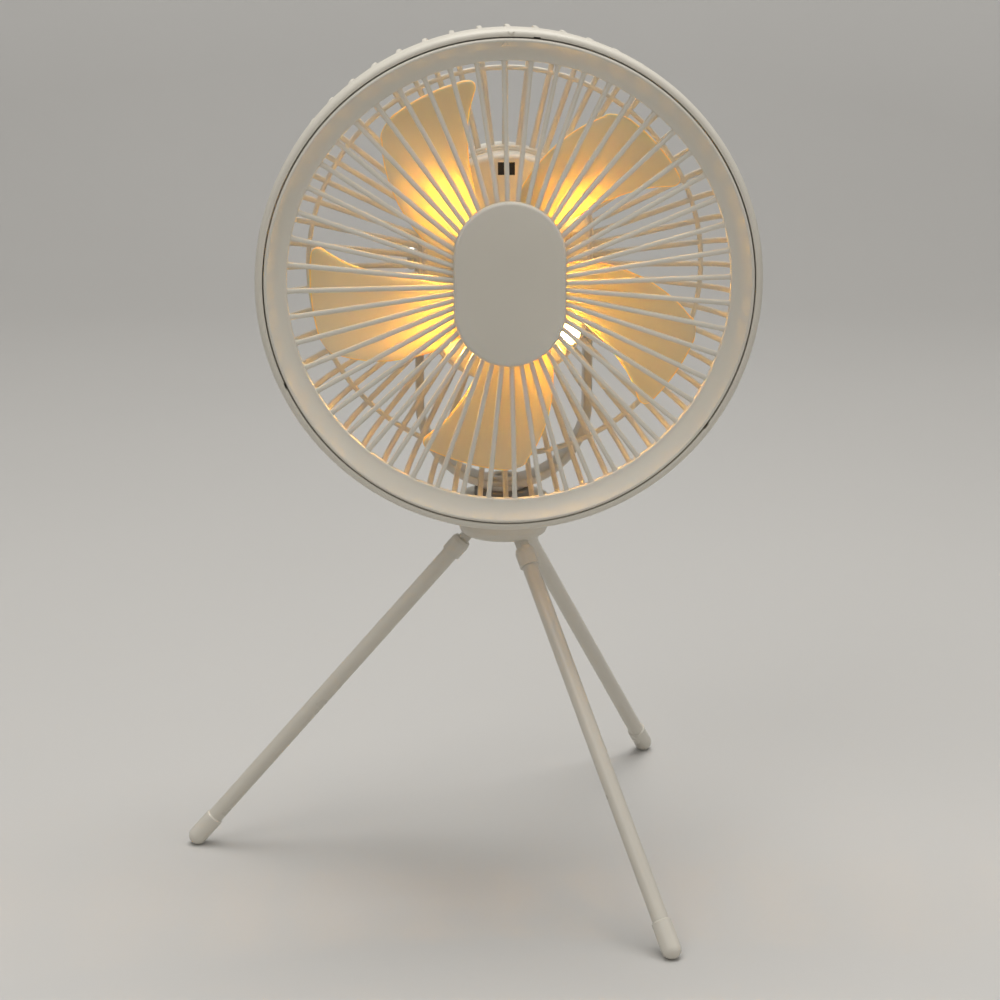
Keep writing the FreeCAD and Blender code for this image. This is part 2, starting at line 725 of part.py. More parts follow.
def motor_stator():
    """Wound core with nine poles and open slots between them."""
    front = STATOR_FRONT_DEPTH - 1
    back = STATOR_BACK_DEPTH + 1
    stack = disc(STATOR_R, STATOR_FRONT_DEPTH, STATOR_BACK_DEPTH)
    stack = stack.cut(disc(MOTOR_TUBE_R, front, back))
    for i in range(STATOR_POLES):
        slot = box((-1.6, 1.6), (depth(front), depth(back)), (8.6, 12.6))
        mouth = box((-0.5, 0.5), (depth(front), depth(back)), (12.0, STATOR_R + 1))
        stack = stack.cut(turn(slot.fuse(mouth), i * 360.0 / STATOR_POLES))
    return stack


def motor_bell():
    cup = disc(BELL_R, 13.0, 28.6).cut(disc(14.6, 14.6, 30.0))
    return cup.cut(disc(SHAFT_R, 12.0, 16.0))


def motor_shaft():
    shaft = disc(SHAFT_R, 6.0, 34.4)
    return shaft.makeChamfer(0.4, edges_at_depth(shaft, 34.4))


def motor_screws():
    screws = []
    plate_back = FACE_DEPTH + WALL + MOTOR_PLATE_THICK
    for x, z in motor_screw_places():
        head = disc(2.3, plate_back, plate_back + 1.6, x, z)
        shank = disc(MOTOR_SCREW_R, FACE_DEPTH + 1.2, plate_back + 0.5, x, z)
        screws.append(fused(head, [shank]))
    return Part.makeCompound(screws)


def edge_angle(corners, radius):
    """Angle of a blade's edge at a radius, between the corners given for it."""
    for low, high in zip(corners, corners[1:]):
        if radius <= high[0] or high is corners[-1]:
            t = (radius - low[0]) / (high[0] - low[0])
            return low[1] + t * (high[1] - low[1])
    return corners[-1][1]


def blade_row(radius):
    """Points of the blade's bowed front surface along an arc of one radius."""
    first = edge_angle(FRONT_EDGE, radius) - 3.0
    last = edge_angle(BACK_EDGE, radius) + 3.0
    half_depth = (BLADE_BACK_DEPTH - BLADE_FRONT_DEPTH) / 2.0
    squeeze = 1.0 - 0.18 * (radius - BLADE_SECTIONS[0]) / (BLADE_SECTIONS[-1] - BLADE_SECTIONS[0])
    mid = (BLADE_BACK_DEPTH + BLADE_FRONT_DEPTH - BLADE_THICK) / 2.0
    steps = 6
    points = []
    for i in range(steps + 1):
        s = 2.0 * i / steps - 1.0
        a = math.radians((first + last) / 2.0 + s * (last - first) / 2.0)
        y = depth(mid + s * half_depth * squeeze + BLADE_BOW * (1.0 - s * s))
        points.append(FreeCAD.Vector(radius * math.sin(a), y, radius * math.cos(a)))
    return points


def blade_plan():
    """The blade's outline seen from the front, with its chamfered and rounded tip."""
    y = depth(0.0)

    def at(radius, angle):
        t = math.radians(angle)
        return FreeCAD.Vector(radius * math.sin(t), y, radius * math.cos(t))

    rise = [at(r, a) for r, a in FRONT_EDGE[:-1]]
    fall = [at(r, a) for r, a in BACK_EDGE[:-1]]
    up = Part.BSplineCurve()
    up.interpolate(rise)
    corner = at(BLADE_TIP_R, BLADE_TIP_ANGLES[0])
    last = at(BLADE_TIP_R, BLADE_TIP_ANGLES[1])
    down = Part.BSplineCurve()
    down.interpolate(fall[::-1])
    edges = [
        up.toShape(),
        Part.makeLine(rise[-1], corner),
        Part.Arc(corner, at(BLADE_TIP_R, 0.0), last).toShape(),
        Part.Arc(last, at(79.2, 12.9), fall[-1]).toShape(),
        down.toShape(),
        Part.makeLine(fall[0], rise[0]),
    ]
    return Part.Face(Part.Wire(edges)).extrude(FreeCAD.Vector(0, 40, 0))


def blade():
    surface = Part.BSplineSurface()
    surface.interpolate([blade_row(r) for r in BLADE_SECTIONS])
    sheet = surface.toShape().extrude(FreeCAD.Vector(0, BLADE_THICK, 0))
    return sheet.common(blade_plan())


def rotor():
    cup = disc(HUB_R, HUB_FRONT_DEPTH, HUB_BACK_DEPTH)
    cup = cup.makeFillet(3.0, edges_at_depth(cup, HUB_FRONT_DEPTH))
    one = blade()
    blades = [turn(one, BLADE_TURN + i * 360.0 / BLADES) for i in range(BLADES)]
    wheel = fused(cup, blades)
    wheel = wheel.cut(disc(HUB_R - 2.4, HUB_FRONT_DEPTH + 2.2, HUB_BACK_DEPTH + 1))
    boss = disc(4.6, HUB_FRONT_DEPTH + 1.0, 13.0)
    wheel = wheel.fuse(boss)
    return wheel.cut(disc(SHAFT_R, 0.0, 15.0)).removeSplitter()


def rotor_nut():
    nut = disc(4.2, HUB_FRONT_DEPTH - 3.4, HUB_FRONT_DEPTH)
    nut = nut.makeChamfer(0.9, edges_at_depth(nut, HUB_FRONT_DEPTH - 3.4))
    return nut.cut(disc(SHAFT_R, 6.0, 9.0))


# Bracket and tilt pivots

def yoke_outline(half_width, grow_up):
    """The bracket's U, closed across its top, seen from the front."""
    foot = YOKE_TOP_OF_FOOT - YOKE_THICK - HEAD_Z
    centre = foot + YOKE_HALF_W
    y = -YOKE_DEPTH / 2.0
    points = [
        FreeCAD.Vector(-half_width, y, grow_up),
        FreeCAD.Vector(-half_width, y, centre),
        (FreeCAD.Vector(0, y, centre - half_width), FreeCAD.Vector(half_width, y, centre)),
        FreeCAD.Vector(half_width, y, grow_up),
    ]
    return face_of(points).extrude(FreeCAD.Vector(0, YOKE_DEPTH, 0))


def yoke_bar():
    """The bent bar with its pivot holes, before the hole in its foot."""
    top = YOKE_DEPTH / 2.0
    bar = yoke_outline(YOKE_HALF_W, top).cut(yoke_outline(YOKE_HALF_W - YOKE_THICK, top + 5))
    long_edges = []
    for edge in bar.Edges:
        bounds = edge.BoundBox
        flat = bounds.YLength < 1e-4
        if flat and bounds.ZMin < top - 1:
            long_edges.append(edge)
    bar = bar.makeChamfer(YOKE_EDGE, long_edges)
    side = box((-60, 60), (-top, top), (-120, 0)).fuse(rod_x(top, -60, 60))
    bar = bar.common(side)
    bar = bar.cut(rod_x(PIVOT_HOLE_R, -60, 60))
    bar.translate(FreeCAD.Vector(0, 0, HEAD_Z))
    return bar


def bush_hole():
    return rod_z(BUSH_R, YOKE_TOP_OF_FOOT - 10, YOKE_TOP_OF_FOOT + 10)


def yoke():
    return yoke_bar().cut(bush_hole())


def yoke_bush():
    """Threaded bush through the bracket's foot, with a seat below it and a collar on top."""
    foot = YOKE_TOP_OF_FOOT - YOKE_THICK
    top = YOKE_TOP_OF_FOOT + 1.6
    profile = [
        (THREAD_HOLE_R, foot),
        (BUSH_SEAT_R, foot),
        (BUSH_SEAT_R, foot + 2.0),
        (BUSH_COLLAR_R, foot + 2.0),
        (BUSH_COLLAR_R, top - 0.5),
        (BUSH_COLLAR_R - 0.5, top),
        (THREAD_HOLE_R + 0.5, top),
        (THREAD_HOLE_R, top - 0.5),
    ]
    return turned_upright(profile).cut(yoke_bar().cut(bush_hole()))


def pivot_screws():
    screws = []
    for side in (-1, 1):
        inner = YOKE_HALF_W + 0.05
        head = Part.makeCylinder(5.2, 3.0, FreeCAD.Vector(inner, 0, 0), X_AXIS)
        outer = [e for e in head.Edges if abs(e.BoundBox.XMin - inner - 3.0) < 1e-4]
        head = head.makeChamfer(1.0, [e for e in outer if e.BoundBox.XLength < 1e-4])
        shank = rod_x(PIVOT_R, BODY_W / 2 - 7.0, inner + 0.5)
        screw = head.fuse(shank)
        sides = []
        for k in range(6):
            t = math.radians(60.0 * k)
            sides.append(FreeCAD.Vector(inner + 1.2, 1.75 * math.cos(t), 1.75 * math.sin(t)))
        socket = face_of(sides).extrude(FreeCAD.Vector(4, 0, 0))
        screw = screw.cut(socket).removeSplitter()
        if side < 0:
            screw.rotate(ORIGIN, Z_AXIS, 180)
        screws.append(screw)
    return Part.makeCompound(screws)


def pivot_rings(outer, inner, low, high):
    rings = []
    for side in (-1, 1):
        ring = rod_x(outer, low, high).cut(rod_x(inner, low - 1, high + 1))
        if side < 0:
            ring.rotate(ORIGIN, Z_AXIS, 180)
        rings.append(ring)
    return Part.makeCompound(rings)


def pivot_washers():
    high = YOKE_HALF_W - YOKE_THICK - 0.05
    return pivot_rings(7.2, PIVOT_R, BODY_W / 2, high)


def pivot_inserts():
    return pivot_rings(3.8, PIVOT_R, BODY_W / 2 - 7.0, BODY_W / 2)


# Tripod

def tripod_hub():
    """Puck with a recess from below, which takes the leg carrier."""
    profile = [
        (THREAD_R, RECESS_TOP),
        (RECESS_R, RECESS_TOP),
        (RECESS_R, PUCK_BOTTOM + 0.6),
        (RECESS_R + 0.3, PUCK_BOTTOM + 0.3),
        (HUB_PUCK_R - 0.3 * PUCK_EDGE, PUCK_BOTTOM + 0.3 * PUCK_EDGE),
        (HUB_PUCK_R, PUCK_BOTTOM + PUCK_EDGE),
        (HUB_PUCK_R, PUCK_TOP - 0.8),
        (HUB_PUCK_R - 0.8, PUCK_TOP),
        (THREAD_R, PUCK_TOP),
    ]
    return turned_upright(profile)


def hub_pad():
    top = PUCK_TOP + PAD_THICK
    profile = [
        (THREAD_R + 0.6, PUCK_TOP),
        (PAD_R, PUCK_TOP),
        (PAD_R, top - 0.5),
        (PAD_R - 0.5, top),
        (THREAD_R + 0.6, top),
    ]
    return turned_upright(profile)


def tripod_stud():
    """Screw with a low head in the hub's recess, rising into the bracket's bush."""
    top = YOKE_TOP_OF_FOOT + 0.6
    low = RECESS_TOP - STUD_HEAD_HEIGHT
    profile = [
        (0, low),
        (STUD_HEAD_R, low),
        (STUD_HEAD_R, RECESS_TOP),
        (THREAD_R, RECESS_TOP),
        (THREAD_R, top - 0.8),
        (THREAD_R - 0.8, top),
        (0, top),
    ]
    return turned_upright(profile)


def leg_carrier():
    """Plate in the hub's recess with three forked lugs for the legs."""
    low = RECESS_TOP - CARRIER_THICK
    plate = rod_z(RECESS_R, low, RECESS_TOP)
    lugs = []
    slots = []
    width = (-LUG_HALF_W, LUG_HALF_W)
    half = TONGUE_W / 2 + TONGUE_GAP
    for azimuth in LEGS.values():
        lug = box((STUD_HEAD_R, HINGE_R), width, (HINGE_Z - LUG_R, RECESS_TOP))
        nose_base = FreeCAD.Vector(HINGE_R, -LUG_HALF_W, HINGE_Z)
        nose = Part.makeCylinder(LUG_R, 2 * LUG_HALF_W, nose_base, Y_AXIS)
        crown = box((HINGE_R, HINGE_R + LUG_R), width, (HINGE_Z, RECESS_TOP))
        slot = box((HINGE_R - EYE_R - 0.5, 30), (-half, half), (HINGE_Z - 10, RECESS_TOP + 1))
        hole_base = FreeCAD.Vector(HINGE_R, -8, HINGE_Z)
        hole = Part.makeCylinder(PIN_R, 16, hole_base, Y_AXIS)
        for shape in (lug, nose, crown, slot, hole):
            shape.rotate(ORIGIN, Z_AXIS, azimuth)
        lugs += [lug, nose, crown]
        slots += [slot, hole]
    carrier = plate.multiFuse(lugs)
    for shape in slots:
        carrier = carrier.cut(shape)
    middle = rod_z(STUD_HEAD_R, HINGE_Z - 10, RECESS_TOP + 1)
    carrier = carrier.cut(middle).removeSplitter()
    carrier.rotate(ORIGIN, Z_AXIS, TRIPOD_TURN)
    return carrier


def hinge_pins():
    pins = []
    for azimuth in LEGS.values():
        base = FreeCAD.Vector(HINGE_R, -LUG_HALF_W, HINGE_Z)
        pin = Part.makeCylinder(PIN_R, 2 * LUG_HALF_W, base, Y_AXIS)
        pin.rotate(ORIGIN, Z_AXIS, azimuth + TRIPOD_TURN)
        pins.append(pin)
    return Part.makeCompound(pins)


def leg_length():
    return math.hypot(FOOT_CENTRE_R - HINGE_R, HINGE_Z - FOOT_CENTRE_Z)


def spread_angle():
    return math.degrees(math.atan2(FOOT_CENTRE_R - HINGE_R, HINGE_Z - FOOT_CENTRE_Z))


def placed_leg(shape, azimuth):
    """Swing a piece drawn hanging under its hinge out to the open leg's place."""
    shape.rotate(ORIGIN, Y_AXIS, -spread_angle())
    shape.translate(FreeCAD.Vector(HINGE_R, 0, HINGE_Z))
    shape.rotate(ORIGIN, Z_AXIS, azimuth + TRIPOD_TURN)
    return shape


def leg_knuckle(azimuth):
    """Tongue on the hinge pin, running into a rounded ferrule on the tube."""
    half = TONGUE_W / 2
    eye = Part.makeCylinder(EYE_R, TONGUE_W, FreeCAD.Vector(0, -half, 0), Y_AXIS)
    bar_depth = (-TONGUE_HALF_DEPTH, TONGUE_HALF_DEPTH)
    bar = box(bar_depth, (-half, half), (-FERRULE_START - 1.5, 0))
    low = -FERRULE_START - FERRULE_LENGTH
    profile = [
        (0, low),
        (FERRULE_R, low),
        (FERRULE_R, -FERRULE_START - 2.4),
        (FERRULE_R - 0.6, -FERRULE_START - 0.8),
        (FERRULE_R - 2.4, -FERRULE_START),
        (0, -FERRULE_START),
    ]
    piece = fused(turned_upright(profile), [eye, bar])
    pin_hole = Part.makeCylinder(PIN_HOLE_R, 10, FreeCAD.Vector(0, -5, 0), Y_AXIS)
    socket = rod_z(TUBE_R, low - 1, -FERRULE_START - 2.6)
    return placed_leg(piece.cut(pin_hole).cut(socket), azimuth)


def leg_tube(azimuth):
    high = -FERRULE_START - 2.6
    low = -leg_length() + 2.0
    tube = rod_z(TUBE_R, low, high).cut(rod_z(TUBE_R - 0.7, low - 1, high + 1))
    return placed_leg(tube, azimuth)


def foot(azimuth):
    """Cap over the end of the tube, round below and flattened where it stands."""
    end = -leg_length()
    top = end + FOOT_LENGTH - FOOT_R
    profile = [
        (0, end - FOOT_R),
        (FOOT_R * math.sin(math.pi / 4), end - FOOT_R * math.cos(math.pi / 4), FOOT_R, end),
        (FOOT_R, top - 0.5),
        (FOOT_R - 0.5, top),
        (0, top),
    ]
    cap = turned_upright(profile)
    cap = cap.cut(rod_z(TUBE_R, end + 2.0, top + 1))
    cap = placed_leg(cap, azimuth)
    return cap.cut(box((-200, 200), (-200, 200), (-20, 0)))


# Save every piece

def in_head(shape):
    shape.translate(FreeCAD.Vector(0, 0, HEAD_Z))
    return shape


def tripod_axis():
    """Place of the tripod's axis, seen from the middle of the object's footprint."""
    turned_by = math.radians(TRIPOD_TURN)
    left = -FOOT_CENTRE_R * math.cos(turned_by) - FOOT_R
    front = math.radians(LEGS["front"] + TRIPOD_TURN)
    back = math.radians(LEGS["back"] + TRIPOD_TURN)
    low_y = FOOT_CENTRE_R * math.sin(front) - FOOT_R
    high_y = FOOT_CENTRE_R * math.sin(back) + FOOT_R
    return FreeCAD.Vector(-(left + RIM_OUTER_R) / 2.0, -(low_y + high_y) / 2.0, 0)


def save(name, shape):
    shape.translate(tripod_axis())
    shape.exportStep("parts/" + name + ".step")


def main():
    os.makedirs("parts", exist_ok=True)
    head_pieces = {
        "front_grille": front_grille,
        "grille_cap": grille_cap,
        "rear_guard": rear_guard,
        "housing_front": housing_front,
        "housing_rear": housing_rear,
        "ir_window": ir_window,
        "led_lenses": led_lenses,
        "led_board": led_board,
        "motor_mount": motor_mount,
        "motor_stator": motor_stator,
        "motor_bearings": motor_bearings,
        "motor_bell": motor_bell,
        "motor_shaft": motor_shaft,
        "motor_screws": motor_screws,
        "rotor": rotor,
        "rotor_nut": rotor_nut,
        "battery_cells": battery_cells,
        "battery_holder": battery_holder,
        "control_board": control_board,
        "indicator_window": indicator_window,
        "usb_c_inlet": usb_c_inlet,
        "usb_c_tongue": usb_c_tongue,
        "case_screws": case_screws,
        "pivot_screws": pivot_screws,
        "pivot_washers": pivot_washers,
        "pivot_inserts": pivot_inserts,
    }
    for name, make in head_pieces.items():
        save(name, in_head(make()))
    for name in BUTTONS:
        save(name, in_head(button(name)))
    stand_pieces = {
        "yoke": yoke,
        "yoke_bush": yoke_bush,
        "tripod_hub": tripod_hub,
        "hub_pad": hub_pad,
        "tripod_stud": tripod_stud,
        "leg_carrier": leg_carrier,
        "hinge_pins": hinge_pins,
    }
    for name, make in stand_pieces.items():
        save(name, make())
    for name, azimuth in LEGS.items():
        save("knuckle_" + name, leg_knuckle(azimuth))
        save("leg_tube_" + name, leg_tube(azimuth))
        save("foot_" + name, foot(azimuth))


main()
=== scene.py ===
"""Camping fan on a folding tripod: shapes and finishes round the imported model."""

import math

import bmesh
import bpy
from bpy.props import FloatProperty, FloatVectorProperty, IntProperty, PointerProperty
from bpy.types import Operator, Panel, PropertyGroup
from mathutils import Matrix, Vector


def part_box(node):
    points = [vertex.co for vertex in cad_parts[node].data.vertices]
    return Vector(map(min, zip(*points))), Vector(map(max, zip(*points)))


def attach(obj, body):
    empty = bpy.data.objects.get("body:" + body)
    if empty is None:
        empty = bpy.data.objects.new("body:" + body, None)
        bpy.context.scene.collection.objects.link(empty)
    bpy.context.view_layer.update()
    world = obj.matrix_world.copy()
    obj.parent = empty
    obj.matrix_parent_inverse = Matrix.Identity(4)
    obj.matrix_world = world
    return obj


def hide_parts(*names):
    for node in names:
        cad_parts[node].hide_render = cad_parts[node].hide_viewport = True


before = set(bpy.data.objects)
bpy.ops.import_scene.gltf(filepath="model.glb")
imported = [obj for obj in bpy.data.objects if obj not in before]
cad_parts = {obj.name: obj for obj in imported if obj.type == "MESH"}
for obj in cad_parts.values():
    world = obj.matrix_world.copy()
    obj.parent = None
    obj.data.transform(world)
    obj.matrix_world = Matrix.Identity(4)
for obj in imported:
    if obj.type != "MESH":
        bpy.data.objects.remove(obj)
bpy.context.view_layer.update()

bl_info = {
    "name": "Camping fan",
    "version": (1, 0, 0),
    "blender": (4, 5, 0),
    "location": "3D View > Sidebar > Camping fan",
    "description": "Builds the visible pieces and finishes of a camping fan on its tripod",
    "category": "Object",
}

MM = 0.001


def middle_of(node):
    low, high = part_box(node)
    return (low + high) / 2


PIVOT = middle_of("pivot_washers")
STAND = middle_of("tripod_hub")

# Main sizes of the head, in millimetres. A depth is counted back from the plane of the
# front ring's inner edge.
PIVOT_DEPTH = 62.0
RING_INNER_R = 89.4
RING_OUTER_R = 98.5
RING_CREST = -4.8
SKIRT_DEPTH = 7.5
SPOKES = 52
SPOKE_TURN = -1.45
SPOKE_RING_DEPTH = 0.4
SPOKE_HUB_DEPTH = -2.2
SPOKE_HUB_R = 22.6
HUB_FRAME_W = 40.2
HUB_FRAME_H = 60.6
CAP_W = 45.2
CAP_H = 67.0
CAP_LIFT = 0.6
CAP_FRONT = -5.9
CAP_BACK = -2.35
LOCK_AT = -1.2
MARK_AT = 0.2
LOCK_TURN = 7.3
LOCK_R = 99.2
RIM_INNER_R = 99.0
RIM_OUTER_R = 102.2
RIM_BACK_R = 101.7
RIM_FRONT = -4.3
RIM_BACK = 10.4
RIBS = 56
RIB_HALF_W = 1.15
RIB_HALF_DEPTH = 1.1
BEND_CENTRE_R = 83.4
BEND_CENTRE_DEPTH = 27.0
BEND_R = 17.6
HOOP_R = 82.0
HOOP_FRONT = 42.4
HOOP_BACK = 44.8
COLLAR_W = 69.2
COLLAR_H = 96.5
COLLAR_WALL = 2.1
COLLAR_FRONT = 42.0
COLLAR_BACK = 47.0
HUB_R = 21.0
BLADE_TIP_R = 81.0
BLADE_TURN = 49.0
LENS_R = 3.4

# Main sizes of the bracket and the tripod's head
YOKE_HALF_W = 37.8
YOKE_THICK = 3.7
YOKE_DEPTH = 15.0
YOKE_DROP = 97.0
PIVOT_HOLE_R = 2.57
BUSH_R = 4.4
PUCK_R = 19.5
PUCK_TOP = 163.6
PUCK_BORE_R = 3.15
PUCK_RECESS_R = 17.4
PUCK_RECESS_TOP = 154.4

# The camera of the photograph, in metres and radians
CAMERA_AT = (-0.0254, -1.1153, 0.4724)
CAMERA_LENS = 96.13
CAMERA_DOWN = 0.2715
CAMERA_ASIDE = -0.039

# The room: its light, how bright it is where it is seen, and the floor's pale distance
ROOM_TINT = (1.0, 0.99, 0.97, 1.0)
ROOM_LIGHT = 0.22
ROOM_SEEN = 0.6
PALE_FROM = 1.7
PALE_TO = 4.0
PALE_GLOW = 0.5
LIGHT_AIM = Vector((0.0, 0.0, 0.2))

DUST = (0.50, 0.47, 0.42)
WORN_PAINT = (0.42, 0.41, 0.39)
# LIT_EDGE is a painted golden colour for the blades' rims, standing in for lamp light that leaves them at
# their edges
LIT_EDGE = (0.80, 0.58, 0.27)
LAMP_CORE = (1.0, 0.60, 0.15)


# Settings that a user may change

def colour(name, description, value):
    return FloatVectorProperty(
        name=name, description=description, subtype="COLOR", default=value, min=0, max=1
    )


def length(name, description, value):
    return FloatProperty(
        name=name, description=description, default=value * MM, min=0.0, unit="LENGTH"
    )


class FanColours(PropertyGroup):
    """Colours of the fan and of the floor it stands on."""

    shell: colour("Shell", "Ivory plastic of the guard, the grille and the housing", (0.66, 0.625, 0.545))
    # The cap's colour is the shell's ivory made a little darker: painted shade, as the cap faces the camera
    # and gets less of the top light
    cap: colour("Cap", "Plastic of the cap in the middle of the grille", (0.64, 0.605, 0.53))
    blade: colour("Blades", "Milky plastic of the blades", (0.80, 0.72, 0.56))
    paint: colour("Paint", "Baked paint on the legs and the bracket", (0.62, 0.585, 0.51))
    boots: colour("Feet", "Glossy plastic of the feet", (0.66, 0.625, 0.55))
    lamp: colour("Lamp light", "Light of the four lamps", (1.0, 0.48, 0.055))
    # The glow is painted light: the blades' rims give it out themselves, in place of lamp light carried
    # inside them
    glow: colour("Glow", "Lamp light that leaves the blades at their edges", (1.0, 0.54, 0.10))
    window: colour("Receiver window", "Dark plastic over the receiver", (0.012, 0.010, 0.010))
    pad: colour("Pad", "Rubber under the bracket", (0.24, 0.215, 0.185))
    floor: colour("Floor", "Floor and backdrop", (0.56, 0.55, 0.53))


class FanSizes(PropertyGroup):
    """Sizes of the pieces that are formed here."""

    spoke_width: length("Spoke width", "Width of one bar of the front grille", 2.0)
    spoke_depth: length("Spoke depth", "Thickness of one bar from front to back", 2.3)
    blade_thickness: length("Blade thickness", "Thickness of a blade", 2.0)
    cap_crown: length("Cap crown", "Height of the gentle dome on the cap", 0.45)
    symbol_height: length("Symbol height", "Height of the raised signs on the buttons", 0.18)
    lamp_power: FloatProperty(
        name="Lamp power", description="Strength of the four lamps", default=620.0, min=0.0
    )
    edge_glow: FloatProperty(
        name="Edge glow", description="Strength of the light at the blades' edges", default=0.22, min=0.0
    )
    ring_steps: IntProperty(
        name="Ring steps", description="Facets round the front ring", default=208, min=52, max=512
    )


class FanSettings(PropertyGroup):
    """All settings of the fan."""

    colours: PointerProperty(type=FanColours)
    sizes: PointerProperty(type=FanSizes)


def colours():
    """The colours now set."""
    return bpy.context.scene.camping_fan.colours


def sizes():
    """The sizes now set."""
    return bpy.context.scene.camping_fan.sizes


# Places on the head

def on_head(x, depth, z):
    """A point of the head, from millimetres across, back and up."""
    return PIVOT + Vector((x, depth - PIVOT_DEPTH, z)) * MM


def round_head(radius, depth, degrees):
    """A point at a radius and an angle, clockwise from the top."""
    t = math.radians(degrees)
    return on_head(radius * math.sin(t), depth, radius * math.cos(t))


# Outlines and surfaces

def rounded(corners, steps=5):
    """Points of an outline whose corners, each (across, along, radius), are rounded."""
    points = []
    for i, (x, y, radius) in enumerate(corners):
        here = Vector((x, y))
        if radius <= 0:
            points.append(here)
            continue
        before = (Vector(corners[i - 1][:2]) - here).normalized()
        after = (Vector(corners[(i + 1) % len(corners)][:2]) - here).normalized()
        half = before.angle(after) / 2
        centre = here + (before + after).normalized() * radius / math.sin(half)
        start = here + before * radius / math.tan(half) - centre
        end = here + after * radius / math.tan(half) - centre
        swing = start.angle_signed(end)
        for k in range(steps + 1):
            turned = start.copy()
            turned.rotate(Matrix.Rotation(-swing * k / steps, 2))
            points.append(centre + turned)
    return points


def skin(rings, closed=False, caps=True):
    """Points and faces of a surface through a row of equal closed rings."""
    count = len(rings[0])
    points = [p for ring in rings for p in ring]
    faces = []
    for r in range(len(rings) if closed else len(rings) - 1):
        a = r * count
        b = (r + 1) % len(rings) * count
        for k in range(count):
            n = (k + 1) % count
            faces.append((a + k, a + n, b + n, b + k))
    if caps and not closed:
        faces.append(tuple(range(count)))
        faces.append(tuple(range(len(points) - count, len(points))))
    return points, faces


def turned_on_head(outline, steps):
    """A ring round the head's axis from an outline of (radius, depth) points."""
    rings = []
    for i in range(steps):
        angle = 360.0 * i / steps
        rings.append([round_head(p[0], p[1], angle) for p in outline])
    return skin(rings, closed=True)


def turned_on_stand(outline, steps):
    """A body round the tripod's axis from an outline of (radius, height) points."""
    rings = []
    for i in range(steps):
        t = 2 * math.pi * i / steps
        rings.append([
            Vector((STAND.x + p[0] * MM * math.sin(t), STAND.y - p[0] * MM * math.cos(t), p[1] * MM))
            for p in outline
        ])
    return skin(rings, closed=True)


def racetrack_stations(height_over_width, steps):
    """Middles and directions round a racetrack one unit wide, with straight sides."""
    lift = height_over_width - 1.0
    stations = []
    for half, sign in ((0, 1), (1, -1)):
        for k in range(steps + 1):
            t = math.radians(-90 + 180 * half + 180.0 * k / steps)
            stations.append((sign * lift, math.sin(t), math.cos(t)))
        side = 1 if half == 0 else -1
        for k in range(1, 8):
            stations.append((sign * lift * (1 - k / 4.0), side, 0.0))
    return stations


def racetrack_point(station, radius, offset, depth, raised=0.0):
    """A point of the head, out from a racetrack with a given radius at its ends."""
    lift, x, z = station
    reach = radius + offset
    return on_head(x * reach, depth, lift * radius + z * reach + raised)


def oblong(half, low, high):
    """Corners of an oblong to both sides of a middle line."""
    return ((-half, low), (half, low), (half, high), (-half, high))


def lump(sections, angle):
    """A solid on the head near an angle, from sections of (radius, across, depth) corners."""
    rings = []
    for corners in sections:
        rings.append([round_head(r, depth, angle + math.degrees(x / r)) for r, x, depth in corners])
    return skin(rings)


def join(*meshes):
    """One list of points and one of faces from several surfaces."""
    points, faces = [], []
    for more_points, more_faces in meshes:
        first = len(points)
        points += more_points
        faces += [tuple(first + k for k in face) for face in more_faces]
    return points, faces


def piece(name, mesh, material, body, slot, replaces=(), sharp=38.0, merge=0.0, cutters=(), edges=None):
    """A named object from points and faces, with its finish and the body it rides on."""
    data = bpy.data.meshes.new(name)
    work = bmesh.new()
    corners = [work.verts.new(p) for p in mesh[0]]
    for face in mesh[1]:
        work.faces.new([corners[k] for k in face])
    if merge:
        bmesh.ops.remove_doubles(work, verts=work.verts, dist=merge)
    bmesh.ops.recalc_face_normals(work, faces=work.faces)
    work.to_mesh(data)
    work.free()
    if cutters:
        data = carved(name, data, cutters)
    data.shade_smooth()
    data.set_sharp_from_angle(angle=math.radians(sharp))
    data.materials.append(material)
    if edges:
        data.materials.append(edges[0])
        for k in edges[1]:
            data.polygons[k].material_index = 1
    thing = bpy.data.objects.new(name, data)
    bpy.context.scene.collection.objects.link(thing)
    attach(thing, body)
    if replaces:
        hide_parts(*replaces)
    return thing


def carved(name, data, cutters):
    """A mesh with other closed meshes cut out of it."""
    scene = bpy.context.scene
    block = bpy.data.objects.new(name + "_block", data)
    scene.collection.objects.link(block)
    tools = []
    for points, faces in cutters:
        shape = bpy.data.meshes.new(name + "_cutter")
        shape.from_pydata(points, [], faces)
        work = bmesh.new()
        work.from_mesh(shape)
        bmesh.ops.recalc_face_normals(work, faces=work.faces)
        work.to_mesh(shape)
        work.free()
        tool = bpy.data.objects.new(name + "_cutter", shape)
        scene.collection.objects.link(tool)
        cut = block.modifiers.new("Cut", "BOOLEAN")
        cut.operation = "DIFFERENCE"
        cut.solver = "EXACT"
        cut.object = tool
        tools.append(tool)
    shown = block.evaluated_get(bpy.context.evaluated_depsgraph_get())
    result = bpy.data.meshes.new_from_object(shown)
    result.name = name
    for thing in (block, *tools):
        old = thing.data
        bpy.data.objects.remove(thing)
        bpy.data.meshes.remove(old)
    return result


def finish_nodes(material, *names):
    """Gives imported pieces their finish."""
    for name in names:
        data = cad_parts[name].data
        data.materials.clear()
        data.materials.append(material)


# Shader groups

def shader_group(name, inputs, outputs):
    """An empty group with named float inputs and outputs, and its two end nodes."""
    group = bpy.data.node_groups.new(name, "ShaderNodeTree")
    for label, value in inputs.items():
        socket = group.interface.new_socket(name=label, in_out="INPUT", socket_type="NodeSocketFloat")
        socket.default_value = value
    for label in outputs:
        group.interface.new_socket(name=label, in_out="OUTPUT", socket_type="NodeSocketFloat")
    return group, group.nodes.new("NodeGroupInput"), group.nodes.new("NodeGroupOutput")


